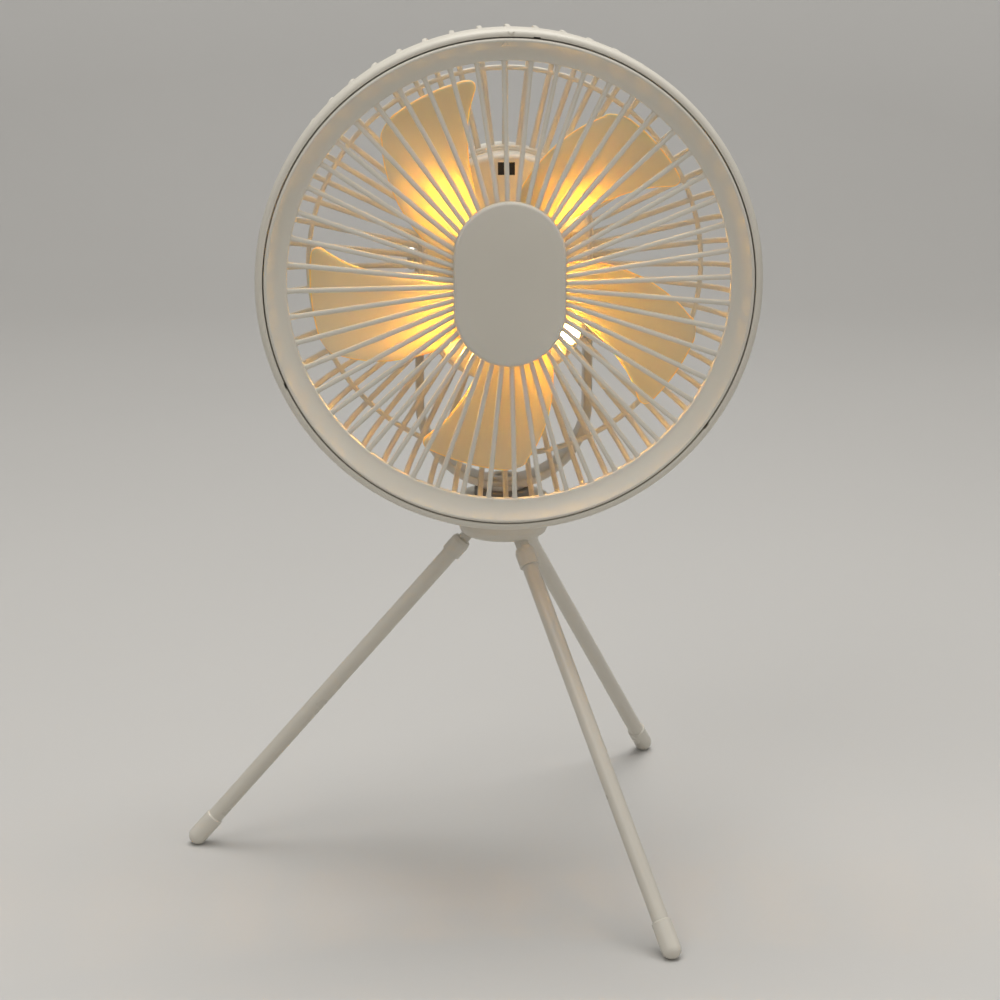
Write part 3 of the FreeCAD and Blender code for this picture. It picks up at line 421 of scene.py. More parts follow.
def add(tree, kind, **values):
    """A node with some of its settings and input values."""
    node = tree.nodes.new(kind)
    for key, value in values.items():
        if hasattr(node, key):
            setattr(node, key, value)
        else:
            node.inputs[key.replace("_", " ")].default_value = value
    return node


def spread(tree, source, low, high, to_low, to_high):
    """A value stretched from one range to another and held inside it."""
    node = add(tree, "ShaderNodeMapRange")
    tree.links.new(source, node.inputs["Value"])
    for label, value in (("From Min", low), ("From Max", high), ("To Min", to_low), ("To Max", to_high)):
        node.inputs[label].default_value = value
    return node.outputs["Result"]


def feed(tree, node, values):
    """Gives a node's inputs values in their order, each a constant or another node's output."""
    for socket, value in zip(node.inputs, values):
        if isinstance(value, bpy.types.NodeSocket):
            tree.links.new(value, socket)
        else:
            socket.default_value = value
    return node.outputs


def reckon(tree, operation, a, b):
    """A value reckoned from two others."""
    return feed(tree, add(tree, "ShaderNodeMath", operation=operation), (a, b))["Value"]


def reckon_vector(tree, operation, *vectors):
    """A vector reckoned from others, or a length or a product of them."""
    outputs = feed(tree, add(tree, "ShaderNodeVectorMath", operation=operation), vectors)
    return outputs["Value" if operation in ("LENGTH", "DOT_PRODUCT") else "Vector"]


def object_place(tree):
    """The place on the object."""
    return add(tree, "ShaderNodeTexCoord").outputs["Object"]


def noise(tree, place, **values):
    """A noise texture at a place."""
    node = add(tree, "ShaderNodeTexNoise", **values)
    tree.links.new(place, node.inputs["Vector"])
    return node


def make_moulded_grain():
    """Fine spark-eroded texture of a mould, with slow changes of gloss and tone."""
    group, entry, leave = shader_group(
        "Moulded grain", {"Grain": 3200.0, "Strength": 1.0}, ("Height", "Gloss", "Tone")
    )
    place = object_place(group)
    fine = noise(group, place, Detail=2.0, Roughness=0.55)
    slow = noise(group, place, Scale=38.0, Detail=3.0)
    broad = noise(group, place, Scale=11.0, Detail=2.0)
    group.links.new(entry.outputs["Grain"], fine.inputs["Scale"])
    height = reckon(group, "MULTIPLY", fine.outputs["Fac"], entry.outputs["Strength"])
    group.links.new(height, leave.inputs["Height"])
    group.links.new(spread(group, slow.outputs["Fac"], 0.35, 0.65, 0.0, 1.0), leave.inputs["Gloss"])
    group.links.new(spread(group, broad.outputs["Fac"], 0.38, 0.62, 0.0, 1.0), leave.inputs["Tone"])
    return group


def make_settled_dust():
    """Thin dust on the faces that look up, broken into soft patches."""
    group, entry, leave = shader_group("Settled dust", {"Amount": 0.2}, ("Mask",))
    place = add(group, "ShaderNodeTexCoord")
    up = add(group, "ShaderNodeSeparateXYZ")
    group.links.new(place.outputs["Normal"], up.inputs[0])
    facing = spread(group, up.outputs["Z"], 0.35, 1.0, 0.0, 1.0)
    patches = noise(group, place.outputs["Object"], Scale=140.0, Detail=6.0, Roughness=0.7)
    broken = spread(group, patches.outputs["Fac"], 0.40, 0.70, 0.15, 1.0)
    mask = reckon(group, "MULTIPLY", facing, broken)
    mask = reckon(group, "MULTIPLY", mask, entry.outputs["Amount"])
    group.links.new(mask, leave.inputs["Mask"])
    return group


def make_rubbed_edge():
    """Where the finish is thinner: along edges, in broken strokes."""
    group, entry, leave = shader_group("Rubbed edge", {"Reach": 0.0006, "Amount": 0.5}, ("Mask",))
    soft = add(group, "ShaderNodeBevel", samples=4)
    group.links.new(entry.outputs["Reach"], soft.inputs["Radius"])
    flat = add(group, "ShaderNodeNewGeometry")
    same = reckon_vector(group, "DOT_PRODUCT", soft.outputs["Normal"], flat.outputs["Normal"])
    edge = spread(group, same, 0.97, 0.80, 0.0, 1.0)
    strokes = noise(group, object_place(group), Scale=420.0, Detail=4.0, Roughness=0.65)
    broken = spread(group, strokes.outputs["Fac"], 0.42, 0.62, 0.0, 1.0)
    mask = reckon(group, "MULTIPLY", edge, broken)
    mask = reckon(group, "MULTIPLY", mask, entry.outputs["Amount"])
    group.links.new(mask, leave.inputs["Mask"])
    return group


def make_spray_paint():
    """Slight orange peel of sprayed paint, with slow changes of gloss."""
    group, entry, leave = shader_group("Sprayed paint", {"Peel": 900.0}, ("Height", "Gloss"))
    place = object_place(group)
    peel = noise(group, place, Detail=2.0, Roughness=0.4)
    slow = noise(group, place, Scale=60.0, Detail=3.0)
    group.links.new(entry.outputs["Peel"], peel.inputs["Scale"])
    group.links.new(peel.outputs["Fac"], leave.inputs["Height"])
    group.links.new(slow.outputs["Fac"], leave.inputs["Gloss"])
    return group


def group_in(tree, name, **values):
    """A shader group placed in a material with its own values."""
    node = tree.nodes.new("ShaderNodeGroup")
    node.node_tree = bpy.data.node_groups[name]
    for key, value in values.items():
        node.inputs[key].default_value = value
    return node


def blend_colours(tree, mask, a, b):
    """One colour over another, by a mask."""
    node = add(tree, "ShaderNodeMix", data_type="RGBA")
    tree.links.new(mask, node.inputs["Factor"])
    for label, value in ((6, a), (7, b)):
        if isinstance(value, bpy.types.NodeSocket):
            tree.links.new(value, node.inputs[label])
        else:
            node.inputs[label].default_value = (*value[:3], 1.0)
    return node.outputs[2]


def bumped(tree, shader, height, strength, distance):
    """Gives a shader a fine relief."""
    node = add(tree, "ShaderNodeBump", Strength=strength, Distance=distance)
    tree.links.new(height, node.inputs["Height"])
    tree.links.new(node.outputs["Normal"], shader.inputs["Normal"])


def parts_of(material):
    """A material's node tree and its shader."""
    return material.node_tree, material.node_tree.nodes["Principled BSDF"]


def start_material(name):
    """A new material with its node tree and its shader."""
    material = bpy.data.materials.new(name)
    material.use_nodes = True
    return (*parts_of(material), material)


def tint(value, factor):
    """A colour made lighter or darker."""
    return tuple(min(1.0, channel * factor) for channel in value[:3])


def moulded_plastic(name, base, rough=0.42, grain=3200.0, depth=0.00002, dust=0.25, strength=0.35):
    """Satin moulded plastic with mould grain, uneven gloss and a little dust."""
    tree, shader, material = start_material(name)
    texture = group_in(tree, "Moulded grain", Grain=grain)
    dusty = group_in(tree, "Settled dust", Amount=dust)
    body = blend_colours(tree, texture.outputs["Tone"], tint(base, 0.965), tint(base, 1.02))
    body = blend_colours(tree, dusty.outputs["Mask"], body, DUST)
    tree.links.new(body, shader.inputs["Base Color"])
    gloss = spread(tree, texture.outputs["Gloss"], 0.0, 1.0, rough - 0.05, rough + 0.06)
    matt = reckon(tree, "MULTIPLY", dusty.outputs["Mask"], 0.5)
    gloss = reckon(tree, "ADD", gloss, matt)
    tree.links.new(gloss, shader.inputs["Roughness"])
    bumped(tree, shader, texture.outputs["Height"], strength, depth)
    shader.inputs["IOR"].default_value = 1.5
    return material


def painted_metal(name, base, rough=0.32, wear=0.35):
    """Baked paint over steel, thin along its edges, with slight orange peel."""
    tree, shader, material = start_material(name)
    peel = group_in(tree, "Sprayed paint", Peel=1100.0)
    rubbed = group_in(tree, "Rubbed edge", Amount=wear)
    dusty = group_in(tree, "Settled dust", Amount=0.18)
    body = blend_colours(tree, peel.outputs["Gloss"], tint(base, 0.97), tint(base, 1.02))
    body = blend_colours(tree, dusty.outputs["Mask"], body, DUST)
    body = blend_colours(tree, rubbed.outputs["Mask"], body, WORN_PAINT)
    tree.links.new(body, shader.inputs["Base Color"])
    gloss = spread(tree, peel.outputs["Gloss"], 0.3, 0.7, rough - 0.05, rough + 0.07)
    tree.links.new(gloss, shader.inputs["Roughness"])
    tree.links.new(rubbed.outputs["Mask"], shader.inputs["Metallic"])
    bumped(tree, shader, peel.outputs["Height"], 0.25, 0.00003)
    shader.inputs["Coat Weight"].default_value = 0.25
    shader.inputs["Coat Roughness"].default_value = 0.25
    return material


def bare_metal(name, base, rough=0.28, grain=700.0, stretch=(1.0, 1.0, 12.0)):
    """Machined or drawn metal with fine marks along one way."""
    tree, shader, material = start_material(name)
    along = add(tree, "ShaderNodeMapping", Scale=stretch)
    tree.links.new(object_place(tree), along.inputs["Vector"])
    marks = noise(tree, along.outputs["Vector"], Scale=grain, Detail=4.0, Roughness=0.6)
    body = blend_colours(tree, marks.outputs["Fac"], tint(base, 0.85), tint(base, 1.1))
    tree.links.new(body, shader.inputs["Base Color"])
    gloss = spread(tree, marks.outputs["Fac"], 0.3, 0.7, rough - 0.08, rough + 0.12)
    tree.links.new(gloss, shader.inputs["Roughness"])
    shader.inputs["Metallic"].default_value = 1.0
    bumped(tree, shader, marks.outputs["Fac"], 0.2, 0.00002)
    return material


def blade_plastic():
    """Milky plastic that lets the lamps glow through."""
    material = moulded_plastic("Milky blade plastic", colours().blade, rough=0.34, dust=0.1)
    shader = parts_of(material)[1]
    shader.inputs["Subsurface Weight"].default_value = 0.6
    shader.inputs["Subsurface Radius"].default_value = (1.0, 0.85, 0.5)
    shader.inputs["Subsurface Scale"].default_value = 0.005
    shader.inputs["Transmission Weight"].default_value = 0.18
    return material


def lit_blade_edge():
    """The same plastic with painted glow along its rims: a golden colour and emission stand in for lamp
    light that runs inside the blade and comes out at its edges.
    """
    material = moulded_plastic("Lit blade edge", LIT_EDGE, rough=0.3, dust=0.0)
    tree, shader = parts_of(material)
    texture = group_in(tree, "Moulded grain", Grain=900.0)
    glow = blend_colours(tree, texture.outputs["Tone"], colours().glow, tint(colours().glow, 0.85))
    tree.links.new(glow, shader.inputs["Emission Color"])
    shader.inputs["Emission Strength"].default_value = sizes().edge_glow
    shader.inputs["Subsurface Weight"].default_value = 0.6
    shader.inputs["Subsurface Scale"].default_value = 0.004
    return material


def lamp_lens():
    """Moulded lens of a warm lamp, brightest at its middle."""
    tree, shader, material = start_material("Warm lamp lens")
    low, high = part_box("led_lenses")
    radius = LENS_R * MM
    middle = ((high.x - low.x) / 2 - radius, 0.0, (high.z - low.z) / 2 - radius)
    offset = reckon_vector(tree, "SUBTRACT", object_place(tree), PIVOT)
    mirrored = reckon_vector(tree, "ABSOLUTE", offset)
    away = reckon_vector(tree, "SUBTRACT", mirrored, middle)
    flat = reckon_vector(tree, "MULTIPLY", away, (1.0, 0.0, 1.0))
    far = reckon_vector(tree, "LENGTH", flat)
    core = spread(tree, far, 0.2 * radius, 0.95 * radius, 1.0, 0.0)
    glow = blend_colours(tree, core, colours().lamp, LAMP_CORE)
    tree.links.new(glow, shader.inputs["Emission Color"])
    tree.links.new(glow, shader.inputs["Base Color"])
    shader.inputs["Emission Strength"].default_value = sizes().lamp_power
    shader.inputs["Roughness"].default_value = 0.2
    return material


def glossy_dark(name, base, rough=0.08):
    """Dark polished plastic with faint hairlines."""
    tree, shader, material = start_material(name)
    texture = group_in(tree, "Moulded grain", Grain=900.0)
    body = blend_colours(tree, texture.outputs["Tone"], tint(base, 0.8), tint(base, 1.3))
    tree.links.new(body, shader.inputs["Base Color"])
    gloss = spread(tree, texture.outputs["Gloss"], 0.0, 1.0, rough, rough + 0.08)
    tree.links.new(gloss, shader.inputs["Roughness"])
    bumped(tree, shader, texture.outputs["Height"], 0.05, 0.00001)
    shader.inputs["Coat Weight"].default_value = 0.4
    return material


def board_finish(name, lacquer, copper):
    """Lacquered circuit board with tracks under the lacquer."""
    tree, shader, material = start_material(name)
    cells = add(tree, "ShaderNodeTexVoronoi", distance="MANHATTAN", feature="DISTANCE_TO_EDGE", Scale=260.0)
    tree.links.new(object_place(tree), cells.inputs["Vector"])
    tracks = spread(tree, cells.outputs["Distance"], 0.05, 0.09, 1.0, 0.0)
    tree.links.new(blend_colours(tree, tracks, lacquer, copper), shader.inputs["Base Color"])
    bumped(tree, shader, tracks, 0.3, 0.00004)
    shader.inputs["Roughness"].default_value = 0.3
    shader.inputs["Coat Weight"].default_value = 0.5
    return material


def wound_copper():
    """Laminated core and lacquered wire of the motor."""
    tree, shader, material = start_material("Wound copper core")
    bands = add(tree, "ShaderNodeTexWave", bands_direction="Y", Scale=420.0, Distortion=0.4)
    tree.links.new(object_place(tree), bands.inputs["Vector"])
    body = blend_colours(tree, bands.outputs["Fac"], (0.30, 0.12, 0.06), (0.62, 0.29, 0.14))
    tree.links.new(body, shader.inputs["Base Color"])
    bumped(tree, shader, bands.outputs["Fac"], 0.6, 0.0001)
    shader.inputs["Metallic"].default_value = 0.85
    shader.inputs["Roughness"].default_value = 0.35
    return material


# Operators

class CAMPINGFAN_OT_finishes(Operator):
    """Makes the shader groups that the finishes share"""

    bl_idname = "camping_fan.finishes"
    bl_label = "Shared finishes"

    def execute(self, context):
        make_moulded_grain()
        make_settled_dust()
        make_rubbed_edge()
        make_spray_paint()
        moulded_plastic("Ivory shell", colours().shell)
        painted_metal("Baked ivory paint", colours().paint)
        bare_metal("Turned steel", (0.56, 0.55, 0.53))
        bare_metal("Dark steel", (0.10, 0.10, 0.10), rough=0.35)
        return {"FINISHED"}


def finish(name):
    """A finish that is already made."""
    return bpy.data.materials[name]


class CAMPINGFAN_OT_grille_ring(Operator):
    """Forms the hollowed front ring with its skirt, lock tabs and pointer"""

    bl_idname = "camping_fan.grille_ring"
    bl_label = "Front ring"

    def execute(self, context):
        inside = RING_OUTER_R - 1.8
        slope_from = RING_INNER_R + 0.8
        slope_to = RING_OUTER_R - 1.75
        crest = 0.85
        outline = [(RING_INNER_R + 0.5, 2.9), (RING_INNER_R + 0.15, 2.75), (RING_INNER_R, 2.4)]
        outline += [(RING_INNER_R, 0.45), (RING_INNER_R + 0.12, 0.14), (RING_INNER_R + 0.4, -0.03)]
        for k in range(13):
            radius = slope_from + (slope_to - slope_from) * k / 12.0
            outline.append((radius, ring_face(radius)))
        for degrees in range(-40, 91, 13):
            t = math.radians(degrees)
            radius = RING_OUTER_R - crest + crest * math.sin(t)
            outline.append((radius, RING_CREST + crest - crest * math.cos(t)))
        outline += [(RING_OUTER_R, SKIRT_DEPTH - 0.3), (RING_OUTER_R - 0.3, SKIRT_DEPTH)]
        outline += [(inside, SKIRT_DEPTH), (inside, -0.1), (inside - 0.5, 0.25), (RING_INNER_R + 3.8, 2.1)]
        ring = turned_on_head(outline, sizes().ring_steps)
        tabs = [lock_tab(LOCK_AT + 120.0 * k) for k in range(3)]
        moulding = (finish("Ivory shell"), "grille", "ivory_plastic")
        piece("grille_ring", join(ring, *tabs), *moulding, ["front_grille"])
        piece("ring_pointer", pointer(), *moulding, sharp=25.0)
        return {"FINISHED"}


def lock_tab(angle):
    """Short lug on the skirt that slides into the guard's rim."""
    half = 1.1
    sections = []
    for radius, inset in ((RING_OUTER_R - 0.6, 0.0), (LOCK_R - 0.2, 0.0), (LOCK_R, 0.2)):
        corners = oblong(half - inset, 5.2 + inset, SKIRT_DEPTH - inset)
        sections.append([(radius, across, depth) for across, depth in corners])
    return lump(sections, angle)


def pointer():
    """Small raised triangle on the ring's slope, which points at the rim's mark."""
    sections = []
    for scale, lift in ((1.0, 0.3), (1.0, -0.3), (0.9, -0.42), (0.5, -0.42), (0.02, -0.42)):
        section = []
        for across, up in ((-1.6, -0.85), (0.0, 1.15), (1.6, -0.85)):
            radius = RING_OUTER_R - 2.35 + up * scale
            section.append((radius, across * scale, ring_face(radius) + lift))
        sections.append(section)
    return lump(sections, LOCK_AT)


def ring_face(radius):
    """Depth of the ring's hollow front slope."""
    t = max(0.0, (radius - RING_INNER_R - 0.6) / (RING_OUTER_R - RING_INNER_R - 2.1))
    return -0.1 - 4.42 * t ** 1.5


class CAMPINGFAN_OT_grille_spokes(Operator):
    """Forms the bars of the front grille and the frame under the cap"""

    bl_idname = "camping_fan.grille_spokes"
    bl_label = "Front spokes"

    def execute(self, context):
        moulding = (finish("Ivory shell"), "grille", "ivory_plastic", ["front_grille"])
        bars = [spoke(SPOKE_TURN + 360.0 * k / SPOKES) for k in range(SPOKES)]
        piece("grille_spokes", join(*bars), *moulding)
        stations = racetrack_stations(CAP_H / CAP_W, 24)
        outline = rounded([(-5.2, -4.3, 0.4), (-1.75, -4.3, 0.4), (-1.75, 0.9, 0.5), (-5.2, 0.9, 0.5)], 3)
        rings = [[racetrack_point(s, CAP_W / 2, p[0], p[1], CAP_LIFT) for p in outline] for s in stations]
        piece("grille_hub", skin(rings, closed=True), *moulding)
        return {"FINISHED"}


def reach_of_racetrack(width, height, degrees):
    """Distance from a racetrack's middle to its outline."""
    r = width / 2
    c = height / 2 - r
    s = abs(math.sin(math.radians(degrees)))
    k = abs(math.cos(math.radians(degrees)))
    if s > 1e-9 and r / s * k <= c:
        return r / s
    return k * c + math.sqrt(r * r - (s * c) ** 2)


def spoke(angle):
    """One bar: crowned in front, with soft edges, flared where it runs into the ring."""
    start = reach_of_racetrack(HUB_FRAME_W, HUB_FRAME_H, angle)
    lean = (SPOKE_RING_DEPTH - SPOKE_HUB_DEPTH) / (RING_INNER_R - SPOKE_HUB_R)
    wide = sizes().spoke_width / MM / 2
    deep = sizes().spoke_depth / MM
    flare_from = 87.6
    crown = [(0.0, 0.0), (0.32, 0.02), (0.62, 0.08), (0.86, 0.20), (0.97, 0.34)]
    t = math.radians(angle)
    rings = []
    for radius, flare in (
        (start, 1.0), (start + 0.35 * (flare_from - start), 1.0), (flare_from, 1.0), (88.5, 1.06),
        (89.1, 1.22), (89.5, 1.5), (89.9, 1.75), (91.0, 1.75),
    ):
        front = SPOKE_RING_DEPTH - (RING_INNER_R - radius) * lean
        back = front + deep
        w = wide * flare
        half = [(x * w, y * wide * 1.5 + front) for x, y in crown]
        half += [(w, front + 0.75), (0.96 * w, back - 0.4), (0.78 * w, back - 0.08), (0.5 * w, back)]
        ring = []
        for across, depth in half + [(-x, y) for x, y in half[:0:-1]]:
            x = radius * math.sin(t) + across * math.cos(t)
            z = radius * math.cos(t) - across * math.sin(t)
            ring.append(on_head(x, depth, z))
        rings.append(ring)
    return skin(rings)


class CAMPINGFAN_OT_cap(Operator):
    """Forms the plain cap in the middle of the grille"""

    bl_idname = "camping_fan.cap"
    bl_label = "Cap"

    def execute(self, context):
        stations = racetrack_stations(CAP_H / CAP_W, 32)
        crown = sizes().cap_crown / MM
        wall = 1.6
        half = CAP_W / 2
        inner = CAP_FRONT + 1.8
        outline = [(-half, inner), (-wall - 0.4, inner), (-wall, inner + 0.4), (-wall, CAP_BACK - 0.1)]
        outline += [(0.1 - wall, CAP_BACK), (-0.15, CAP_BACK), (0.0, CAP_BACK - 0.15)]
        for k in range(9):
            t = math.radians(11.25 * k)
            outline.append((-1.4 + 1.4 * math.cos(t), CAP_FRONT + crown + 1.4 - 1.4 * math.sin(t)))
        for k in range(1, 17):
            inward = 1.4 + (half - 1.4) * k / 16.0
            outline.append((-inward, CAP_FRONT + crown * (1.0 - k / 16.0) ** 2))
        rings = [[racetrack_point(s, half, o, d, CAP_LIFT) for o, d in outline] for s in stations]
        # The cap's colour carries painted shade: it is the shell's ivory made a little darker
        material = moulded_plastic("Cap plastic", colours().cap, rough=0.5, grain=2600.0, dust=0.1)
        shell = open_skin(rings)
        piece("cap_shell", shell, material, "grille", "cap_plastic", ["grille_cap"], merge=0.00001)
        return {"FINISHED"}


def open_skin(rings):
    """A surface through a closed row of open lines, whose first and last points meet in pairs."""
    count = len(rings[0])
    points = [p for ring in rings for p in ring]
    faces = []
    for r in range(len(rings)):
        a = r * count
        b = (r + 1) % len(rings) * count
        for k in range(count - 1):
            faces.append((a + k, a + k + 1, b + k + 1, b + k))
    return points, faces


class CAMPINGFAN_OT_rear_guard(Operator):
    """Forms the guard behind the blades: its rim, its bowed ribs, their hoop and the collar"""

    bl_idname = "camping_fan.rear_guard"
    bl_label = "Rear guard"

    def execute(self, context):
        moulding = (finish("Ivory shell"), "head", "ivory_plastic", ["rear_guard"])
        outline = rounded([
            (RIM_INNER_R, SKIRT_DEPTH + 0.8, 0.2), (RIM_INNER_R, RIM_FRONT, 0.4), (101.0, RIM_FRONT, 2.0),
            (RIM_OUTER_R, -1.8, 4.6), (RIM_BACK_R, RIM_BACK, 0.8), (97.4, RIM_BACK, 0.4), (97.4, 8.3, 0.2),
        ], 6)
        rim = turned_on_head(outline, sizes().ring_steps)
        cutters = [rim_mark(-1), rim_mark(1)]
        for k in range(3):
            cutters += [lock_slot(LOCK_AT + 120.0 * k), lock_groove(LOCK_AT + 120.0 * k)]
        piece("guard_rim", rim, *moulding, cutters=cutters)
        ribs = [rib(360.0 * k / RIBS) for k in range(RIBS)]
        piece("guard_ribs", join(*ribs), *moulding)
        half = 1.0
        outline = rounded([
            (HOOP_R - half, HOOP_FRONT, 0.6), (HOOP_R + half, HOOP_FRONT, 0.6),
            (HOOP_R + half, HOOP_BACK, 0.6), (HOOP_R - half, HOOP_BACK, 0.6),
        ], 4)
        piece("guard_hoop", turned_on_head(outline, 168), *moulding)
        stations = racetrack_stations(COLLAR_H / COLLAR_W, 40)
        outline = rounded([
            (0.0, COLLAR_FRONT, 0.5), (COLLAR_WALL, COLLAR_FRONT, 0.8),
            (COLLAR_WALL, COLLAR_BACK, 0.3), (0.0, COLLAR_BACK, 0.2),
        ], 4)
        rings = [[racetrack_point(s, COLLAR_W / 2, p[0], p[1]) for p in outline] for s in stations]
        piece("guard_collar", skin(rings, closed=True), *moulding)
        return {"FINISHED"}


def lock_slot(angle):
    """Cutter for the way in of one lock tab, through the front of the rim."""
    corners = oblong(1.4, RIM_FRONT - 1.0, 7.7)
    radii = (RIM_INNER_R - 0.6, LOCK_R + 0.25)
    return lump([[(r, across, depth) for across, depth in corners] for r in radii], angle + LOCK_TURN)


def lock_groove(angle):
    """Cutter for the run inside the rim along which one lock tab turns."""
    half = math.degrees(1.4 / RIM_INNER_R)
    inner = RIM_INNER_R - 0.6
    outer = LOCK_R + 0.25
    rings = []
    for k in range(9):
        at = angle - half + (LOCK_TURN + 2 * half) * k / 8.0
        corners = ((inner, 4.9), (outer, 4.9), (outer, 7.8), (inner, 7.8))
        rings.append([round_head(radius, depth, at) for radius, depth in corners])
    return skin(rings)


def rim_mark(side):
    """Cutter for one arm of the small V engraved in the rim over the pointer."""
    sections = []
    for radius, across, surface in ((99.4, 0.0, RIM_FRONT + 0.05), (101.0, 1.25, RIM_FRONT + 0.4)):
        corners = oblong(0.26, surface - 1.2, surface + 0.35)
        sections.append([(radius, side * across + x, depth) for x, depth in corners])
    return lump(sections, MARK_AT)


def rib(angle):
    """One rib: nearly straight behind the rim, bent in to the hoop and on to the collar."""
    wide, deep = RIB_HALF_W, RIB_HALF_DEPTH
    middle = RIM_BACK_R - deep
    path = [(middle, 9.4, 0.0, 1.3), (middle - 0.05, 11.0, 0.0, 1.22)]
    path += [(middle - 0.1, 12.4, 0.0, 1.06), (middle - 0.2, 16.0, 0.0, 1.0)]
    run = BEND_R - deep
    for k in range(13):
        lean = 7.5 * k
        t = math.radians(lean)
        path.append((BEND_CENTRE_R + run * math.cos(t), BEND_CENTRE_DEPTH + run * math.sin(t), lean, 1.0))
    end = reach_of_racetrack(COLLAR_W + 2.0, COLLAR_H + 2.0, angle)
    seat = COLLAR_BACK - 2.5
    path.append(((BEND_CENTRE_R + end) / 2, (BEND_CENTRE_DEPTH + run + seat) / 2, 90.0, 1.0))
    path += [(end + 2.2, seat, 90.0, 1.1), (end, seat, 90.0, 1.25)]
    soft = (0.65, 0.65, 0.75, 0.75)
    section = rounded([(x, y, radius) for (x, y), radius in zip(oblong(wide, -deep, deep), soft)], 3)
    turn = math.radians(angle)
    rings = []
    for radius, depth, lean, flare in path:
        out = math.radians(lean)
        ring = []
        for across, over in section:
            reach = radius + over * math.cos(out)
            x = reach * math.sin(turn) + across * flare * math.cos(turn)
            z = reach * math.cos(turn) - across * flare * math.sin(turn)
            ring.append(on_head(x, depth + over * math.sin(out), z))
        rings.append(ring)
    return skin(rings)


# Outer corners of a blade: the front one is cut back in a curve, the back one is round
CUT_FROM_R = 76.1
CUT_FROM_ANGLE = -19.1
CUT_SWEEP = 7.1
CUT_CURVE = 2.2
ROUND_FROM_R = 76.5
ROUND_SWEEP = 4.4

# Long edges of a blade: their angle at each radius, from a line out through the blade.
# The twist is counted from an edge of its own, near the front one.
FRONT_EDGE = [
    (18.0, -51.5), (37.6, -42.0), (48.0, -35.8), (58.3, -30.0), (65.6, -25.7), (70.9, -22.5),
    (CUT_FROM_R, CUT_FROM_ANGLE), (88.0, -11.0),
]
BACK_EDGE = [(18.0, -8.0), (37.6, 2.6), (49.5, 5.0), (66.0, 9.5), (76.0, 13.4), (88.0, 17.0)]
TWIST_EDGE = [(18.0, -51.0), (37.6, -40.5), (48.0, -33.5), (60.0, -26.6), (73.0, -19.7), (88.0, -12.5)]

# Surface of a blade: depth of its middle, slope to each side, bow, and how the slope
# eases from its root to its tip
BLADE_DEPTH = 16.3
BLADE_SLOPE = 8.7
BLADE_BOW = 1.6
BLADE_EASE = 0.18
BLADE_ROOT_R = 18.0
BLADE_REACH = 70.0

# Radii at which a blade's surface has points, close together where its tip is round
BLADE_ROWS = [
    19.6, 21.0, 22.4, 25, 29, 34, 39, 44, 49, 54, 59, 64, 68, 71, 73, 74.5, 76, 77.3, 78.4, 79.2, 79.8, 80.3,
    80.6, 80.8, 80.93, 81.0,
]


def edge_angle(corners, radius):
    """Angle of a blade's long edge at a radius."""
    for low, high in zip(corners, corners[1:]):
        if radius <= high[0]:
            break
    t = (radius - low[0]) / (high[0] - low[0])
    return low[1] + t * (high[1] - low[1])


def blade_ends(radius):
    """Angles where a blade begins and ends at a radius, with its cut corner and its round one."""
    start = edge_angle(FRONT_EDGE, radius)
    end = edge_angle(BACK_EDGE, radius)
    if radius > CUT_FROM_R:
        share = (radius - CUT_FROM_R) / (BLADE_TIP_R - CUT_FROM_R)
        start = CUT_FROM_ANGLE + CUT_SWEEP * share ** CUT_CURVE
    if radius > ROUND_FROM_R:
        share = (radius - ROUND_FROM_R) / (BLADE_TIP_R - ROUND_FROM_R)
        end -= ROUND_SWEEP * (1.0 - math.sqrt(max(0.0, 1.0 - share * share)))
    return start, end


def blade(turn):
    """One twisted and bowed blade with a rounded rim all round."""
    thick = sizes().blade_thickness / MM
    rings = []
    for radius in BLADE_ROWS:
        start, end = blade_ends(radius)
        first = edge_angle(TWIST_EDGE, radius) - 3.0
        last = edge_angle(BACK_EDGE, radius) + 3.0
        slope = BLADE_SLOPE * (1.0 - BLADE_EASE * (radius - BLADE_ROOT_R) / BLADE_REACH)
        near = min(1.0, BLADE_TIP_R - radius)
        round_tip = math.sqrt(max(0.0, 1.0 - (1.0 - near) ** 2))
        swell = 1.0 + 0.9 * max(0.0, (25.0 - radius) / 5.4) ** 2
        half = thick / 2 * max(0.04, round_tip) * swell
        soft = math.degrees(thick / 2 / radius)
        front, back = [], []
        for s in blade_columns((end - start) / math.degrees(1.0 / radius)):
            a = start + soft * 0.2 + (end - start - soft * 0.4) * s
            edge = min(s, 1 - s) * (end - start) / soft
            fade = math.sqrt(max(0.0, 1.0 - (1.0 - min(1.0, edge + 0.12)) ** 2))
            at = 2 * (a - first) / (last - first) - 1
            depth = BLADE_DEPTH + at * slope + BLADE_BOW * (1 - at * at) + thick / 2
            front.append(round_head(radius, depth - half * fade, a + turn))
            back.append(round_head(radius, depth + half * fade, a + turn))
        rings.append(front + back[::-1])
    return skin(rings)


def blade_columns(width):
    """Shares of a blade's width at which its surface has points, close together at its rims."""
    rim = [0.0, 0.3 / width, 0.65 / width]
    inner = 20
    middle = [rim[-1] + (1 - 2 * rim[-1]) * k / inner for k in range(1, inner)]
    return rim + middle + [1 - r for r in reversed(rim)]


def blade_rim_faces(first):
    """Numbers of the faces along a blade's rims, where it has its painted glow."""
    columns = len(blade_columns(30.0))
    count = 2 * columns
    rim = {0, 1, *range(columns - 3, columns + 2), *range(count - 3, count)}
    chosen = []
    for r in range(len(BLADE_ROWS) - 1):
        tip = BLADE_ROWS[r + 1] > BLADE_TIP_R - 0.45
        for k in range(count):
            if tip or (k in rim and BLADE_ROWS[r] > 24.0):
                chosen.append(first + r * count + k)
    return chosen


